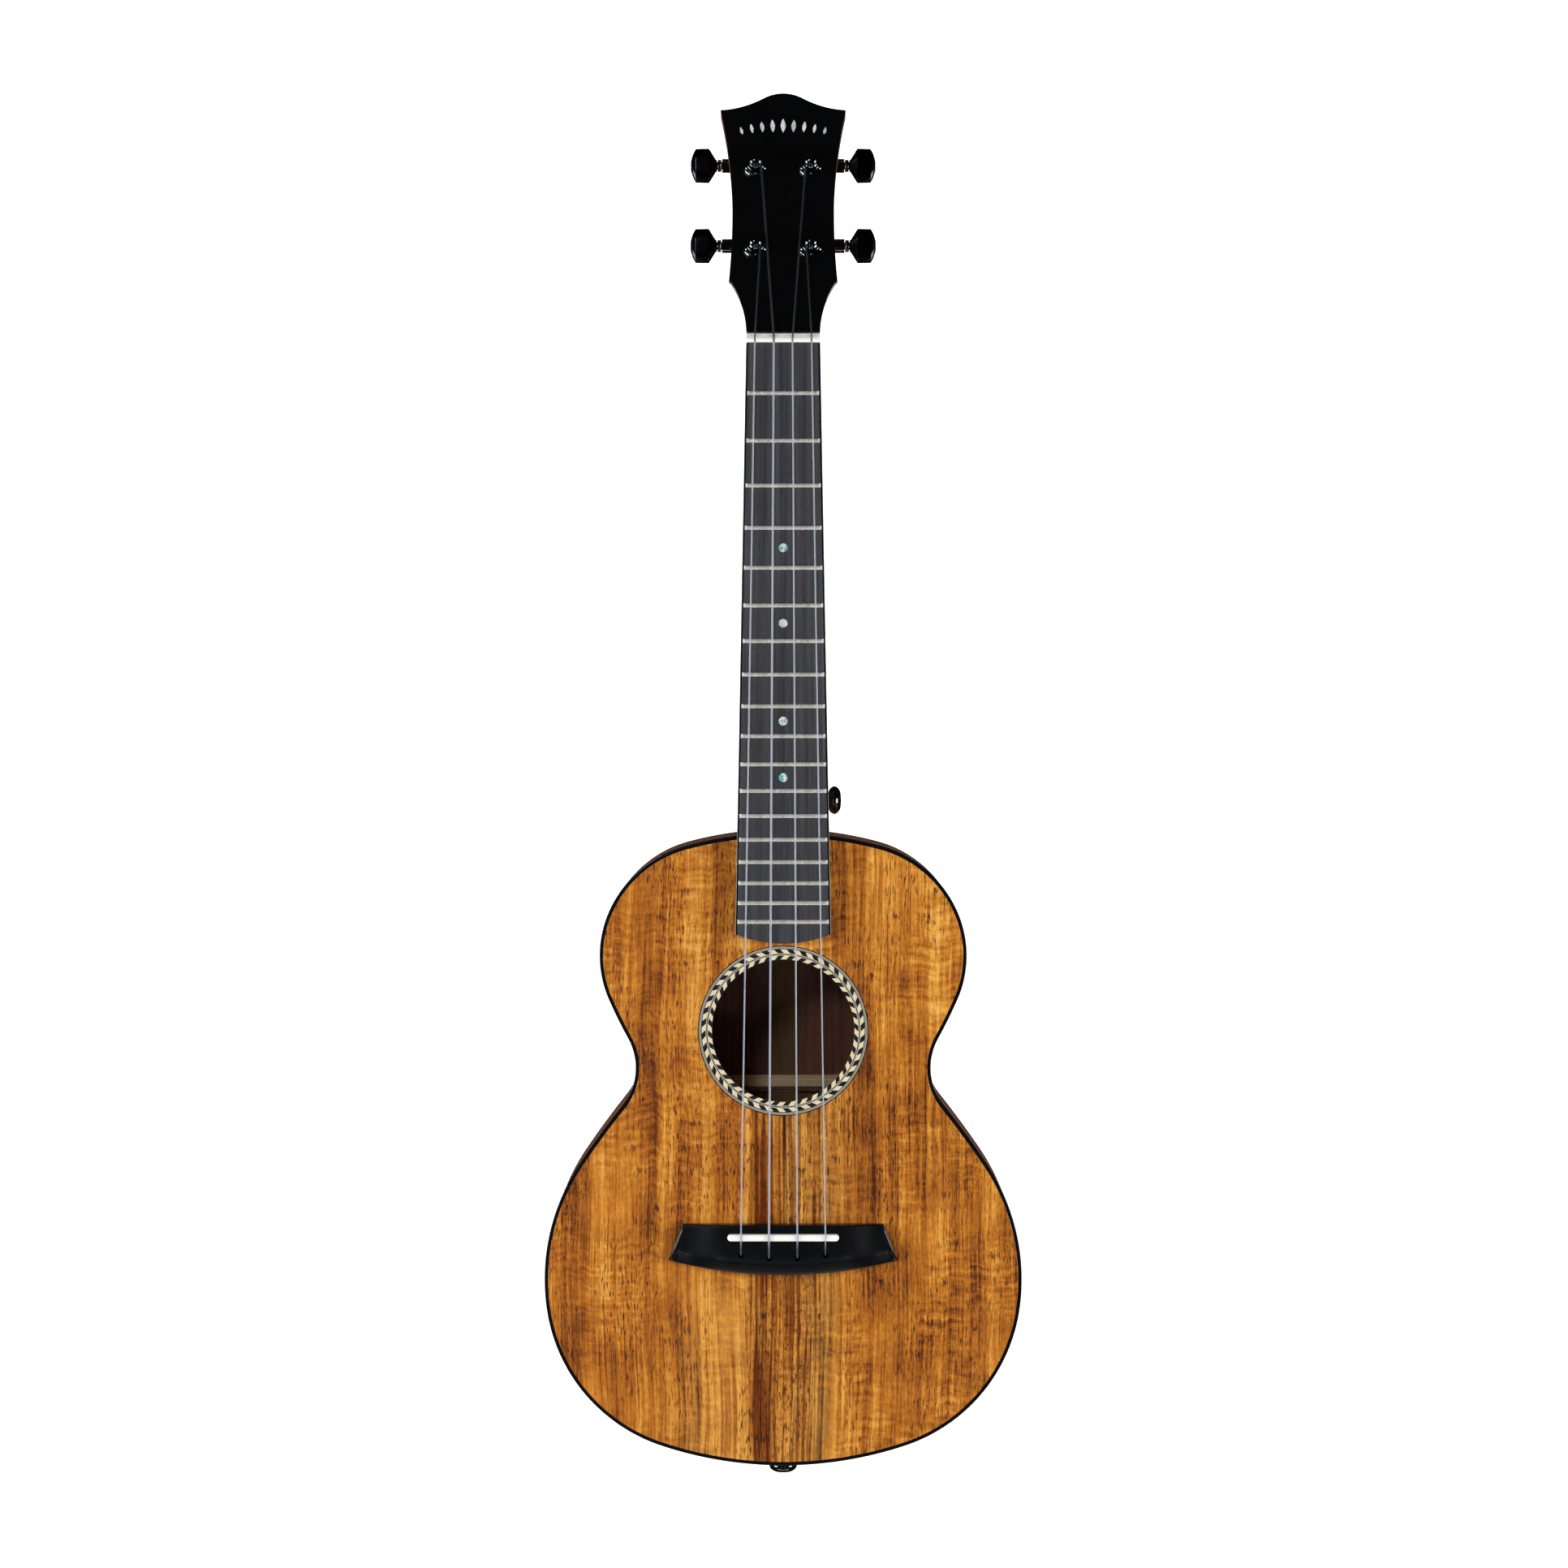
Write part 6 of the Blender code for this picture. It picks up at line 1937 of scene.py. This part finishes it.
    def build_knob(self) -> None:
        """A flat button with bevelled edges, waisted to its stem.

        Each section is an eight-sided figure with softened corners: a point (t u, h v) times
        (|u|^p + |v|^p + ((|u| + |v|) / k)^p)^(-1/p), where t and h are half its thickness and height.
        """
        start, end = self.knob_start, self.knob_end
        size = softened(((start, 2.8, 2.6), (start + 0.5, 2.85, 2.6), (start + 3.9, 8.35, 2.9),
                         (start + 10.4, 8.2, 2.75), (start + 11.7, 5.9, 2.3), (start + 12.4, 3.7, 1.7),
                         (end, 2.2, 1.2)), 0.35, 4)
        angle = full_turn(96)
        u, v = np.cos(angle), np.sin(angle)
        power, bevel = 18, 1.52
        reach = (np.abs(u)**power + np.abs(v)**power + ((np.abs(u) + np.abs(v)) / bevel)**power)**(-1 / power)
        rows = grid_of(size[:, 2:] * u * reach, size[:, 1:2] * v * reach, size[:, :1] - self.post_x)
        bore = turned(((2.05, 0.0), (2.05, start + 6.0 - self.post_x)))
        job = Job(self.name("knob"), "black_chrome", (self.node("knob"),), self.node("knob"), sharp=24.0,
                  tools=((Cut.AWAY, bore.placed(self.shaft_place())),))
        make_piece(job, Shell.grid(rows).capped(96).placed(self.shaft_place()), Wood.KNOB)
        low, high = self.boss_end + 0.3 - self.post_x, self.boss_end + 0.75 - self.post_x
        ring = softened(((1.95, low), (3.15, low), (3.15, high), (1.95, high)), 0.12, 3)
        washer = about_axis(ring[:, :1], full_turn(48), ring[:, 1:])
        job = Job(self.name("washer"), "gear_steel", body=self.node("knob"))
        make_piece(job, Shell.grid(washer, rows_meet=True).placed(self.shaft_place()), Wood.STEEL)

    def build_screws(self) -> None:
        """A pan-head screw through the housing's lug, and a small one in the knob's end."""
        lug = self.post_place().moved(-self.side * 3.2, -8.0, 0.0)
        down = Place(lug.origin, lug.across, -lug.along, -lug.out)
        make_screw(self.name("mounting_screw"), down.moved(0.0, 0.0, 15.95), 2.2, 1.2, 9.0, "root")
        tip = self.shaft_place().moved(0.0, 0.0, self.knob_end - self.post_x - 0.35)
        make_screw(self.name("knob_screw"), tip, 1.15, 0.35, 4.0, self.node("knob"))


def make_screw(name: str, place: Place, radius: float, height: float, shank: float, body: str) -> None:
    """Make a pan-head screw with a cross recess; out leaves its head.

    Args:
        name: the piece's name.
        place: its frame, with the origin under the head.
        radius: the head's radius.
        height: the head's height.
        shank: how far the shank goes in.
        body: the body that it rides on.
    """
    grip = radius * 0.42
    head = turned(((grip * 0.3, -shank), (grip, -shank * 0.8), (grip, 0.0), (radius, 0.0),
                   (radius, height * 0.45), (radius * 0.55, height)), height * 0.35, 32)
    wide, thin, deep = radius * 0.62, radius * 0.15, height * 0.6
    slots = [block((-x, -y, height - deep), (x, y, height + 1.0), 0.02).placed(place)
             for x, y in ((wide, thin), (thin, wide))]
    job = Job(name, "black_chrome", body=body, tools=tuple((Cut.AWAY, slot) for slot in slots))
    make_piece(job, head.placed(place), Wood.SCREW)


# Strap buttons


@dataclass(frozen=True)
class StrapButton:
    """A mushroom button on its own screw."""

    node: str
    out: tuple[float, float, float]
    height: float = 8.8

    def build(self) -> None:
        """Turn the button and set a cross-headed screw in its end."""
        low, high = node_box(self.node)
        out = np.array(self.out)
        middle = (low + high) / 2
        top = np.where(out > 0, high, low)
        origin = np.where(out != 0, top - out * self.height, middle)
        across = HOME.out
        place = Place(origin, across, np.cross(out, across), out)
        profile = ((2.0, -0.6), (2.0, 0.0), (5.0, 0.0), (4.6, 0.8), (3.5, 1.6), (3.6, 2.4), (5.6, 3.1),
                   (6.75, 4.6), (6.85, 5.8), (6.1, 7.2), (4.2, 8.35), (2.6, 8.62), (2.5, 8.2), (0.5, 8.2))
        name = self.node.replace("strap_button", "strap_knob")
        shell = turned(profile, 0.7, 72).placed(place)
        make_piece(Job(name, "black_plastic", (self.node,)), shell, Wood.BLACK)
        make_screw(name + "_screw", place.moved(0.0, 0.0, 8.22), 2.3, 0.5, 20.0, "root")


# Studio


@dataclass(frozen=True)
class Lamp:
    """A rectangular soft light aimed at the instrument."""

    label: str
    place: tuple[float, float, float]
    size: tuple[float, float]
    power: float
    tint: Colour = (1.0, 1.0, 1.0)

    def build(self, aim: Vector) -> None:
        """Place the light and turn it towards a point.

        Args:
            aim: the point, in metres.
        """
        light = bpy.data.lights.new(self.label, "AREA")
        light.shape = "RECTANGLE"
        light.size, light.size_y = self.size
        light.energy = self.power
        light.color = self.tint
        holder = show(self.label, light)
        holder.location = self.place
        holder.rotation_euler = (aim - Vector(self.place)).to_track_quat("-Z", "Y").to_euler()


@dataclass(frozen=True)
class Studio:
    """White paper floor, soft lights and the camera above the instrument."""

    camera_place: tuple[float, float, float] = (0.0004, 0.0471, 2.270)
    aim_place: tuple[float, float, float] = (0.0004, 0.0018, 0.070)
    lens: float = 104.9
    ambient: float = 0.015
    lamps: tuple[Lamp, ...] = (
        Lamp("left_softbox", (-1.50, -0.12, 0.80), (0.8, 0.8), 31.0, (0.96, 0.98, 1.0)),
        Lamp("right_softbox", (1.50, -0.12, 0.80), (0.8, 0.8), 29.5, (1.0, 0.995, 0.985)),
        Lamp("tail_softbox", (0.0, -1.60, 0.30), (1.6, 0.3), 5.0),
        Lamp("left_strip", (-0.50, -1.10, 1.80), (0.22, 0.22), 1.6),
        Lamp("right_strip", (0.50, -1.10, 1.80), (0.22, 0.22), 1.6),
        Lamp("head_softbox", (-0.75, 0.65, 2.00), (0.4, 0.4), 8.0),
    )

    def build(self) -> None:
        """Set up the studio."""
        bpy.context.scene.view_settings.view_transform = "Standard"
        self.build_floor()
        self.build_camera()
        for lamp in self.lamps:
            lamp.build(Vector((0.0, 0.0, 0.05)))
        world = bpy.data.worlds.new("studio")
        world.use_nodes = True
        background = world.node_tree.nodes["Background"]
        background.inputs["Color"].default_value = (1.0, 1.0, 1.0, 1.0)
        background.inputs["Strength"].default_value = self.ambient
        bpy.context.scene.world = world

    def build_floor(self) -> None:
        """A level sheet of paper just under the back."""
        steps = np.array([-6000.0, 0.0, 6000.0])
        x, y = np.meshgrid(steps, steps)
        sheet = Shell.grid(grid_of(x, y, -0.4), columns_meet=False)
        mesh = build_mesh("paper_floor", sheet, 30.0)
        if mesh.polygons[0].normal.z < 0:
            mesh.flip_normals()
        mesh.materials.append(FloorPaper().material())
        floor = show("paper_floor", mesh)
        floor.visible_glossy = False

    def build_camera(self) -> None:
        """The camera looks down at the soundboard, with the head up in the picture."""
        camera = bpy.data.cameras.new("camera")
        camera.lens = self.lens
        camera.sensor_width = 36.0
        camera.clip_end = 30.0
        holder = show("camera", camera)
        place, aim = Vector(self.camera_place), Vector(self.aim_place)
        back = (place - aim).normalized()
        right = Vector((0.0, 1.0, 0.0)).cross(back).normalized()
        turn = Matrix((right, back.cross(right), back)).transposed()
        holder.matrix_world = Matrix.Translation(place) @ turn.to_4x4()
        bpy.context.scene.camera = holder


def main() -> None:
    """Build the studio and the instrument, piece by piece."""
    logging.basicConfig(level=logging.INFO, format="%(name)s: %(message)s")
    Studio().build()
    Soundbox().build()
    head = Head()
    neck = Neck(head)
    neck.build()
    head.build()
    Fingerboard(neck).build()
    Bridge().build()
    for line in PlayedString.all():
        line.build()
    for number, side in ((1, 1.0), (2, 1.0), (3, -1.0), (4, -1.0)):
        TuningMachine(number, side).build()
    StrapButton("strap_button_tail", (0.0, -1.0, 0.0)).build()
    StrapButton("strap_button_heel", (1.0, 0.0, 0.0)).build()


if __name__ == "__main__":
    main()
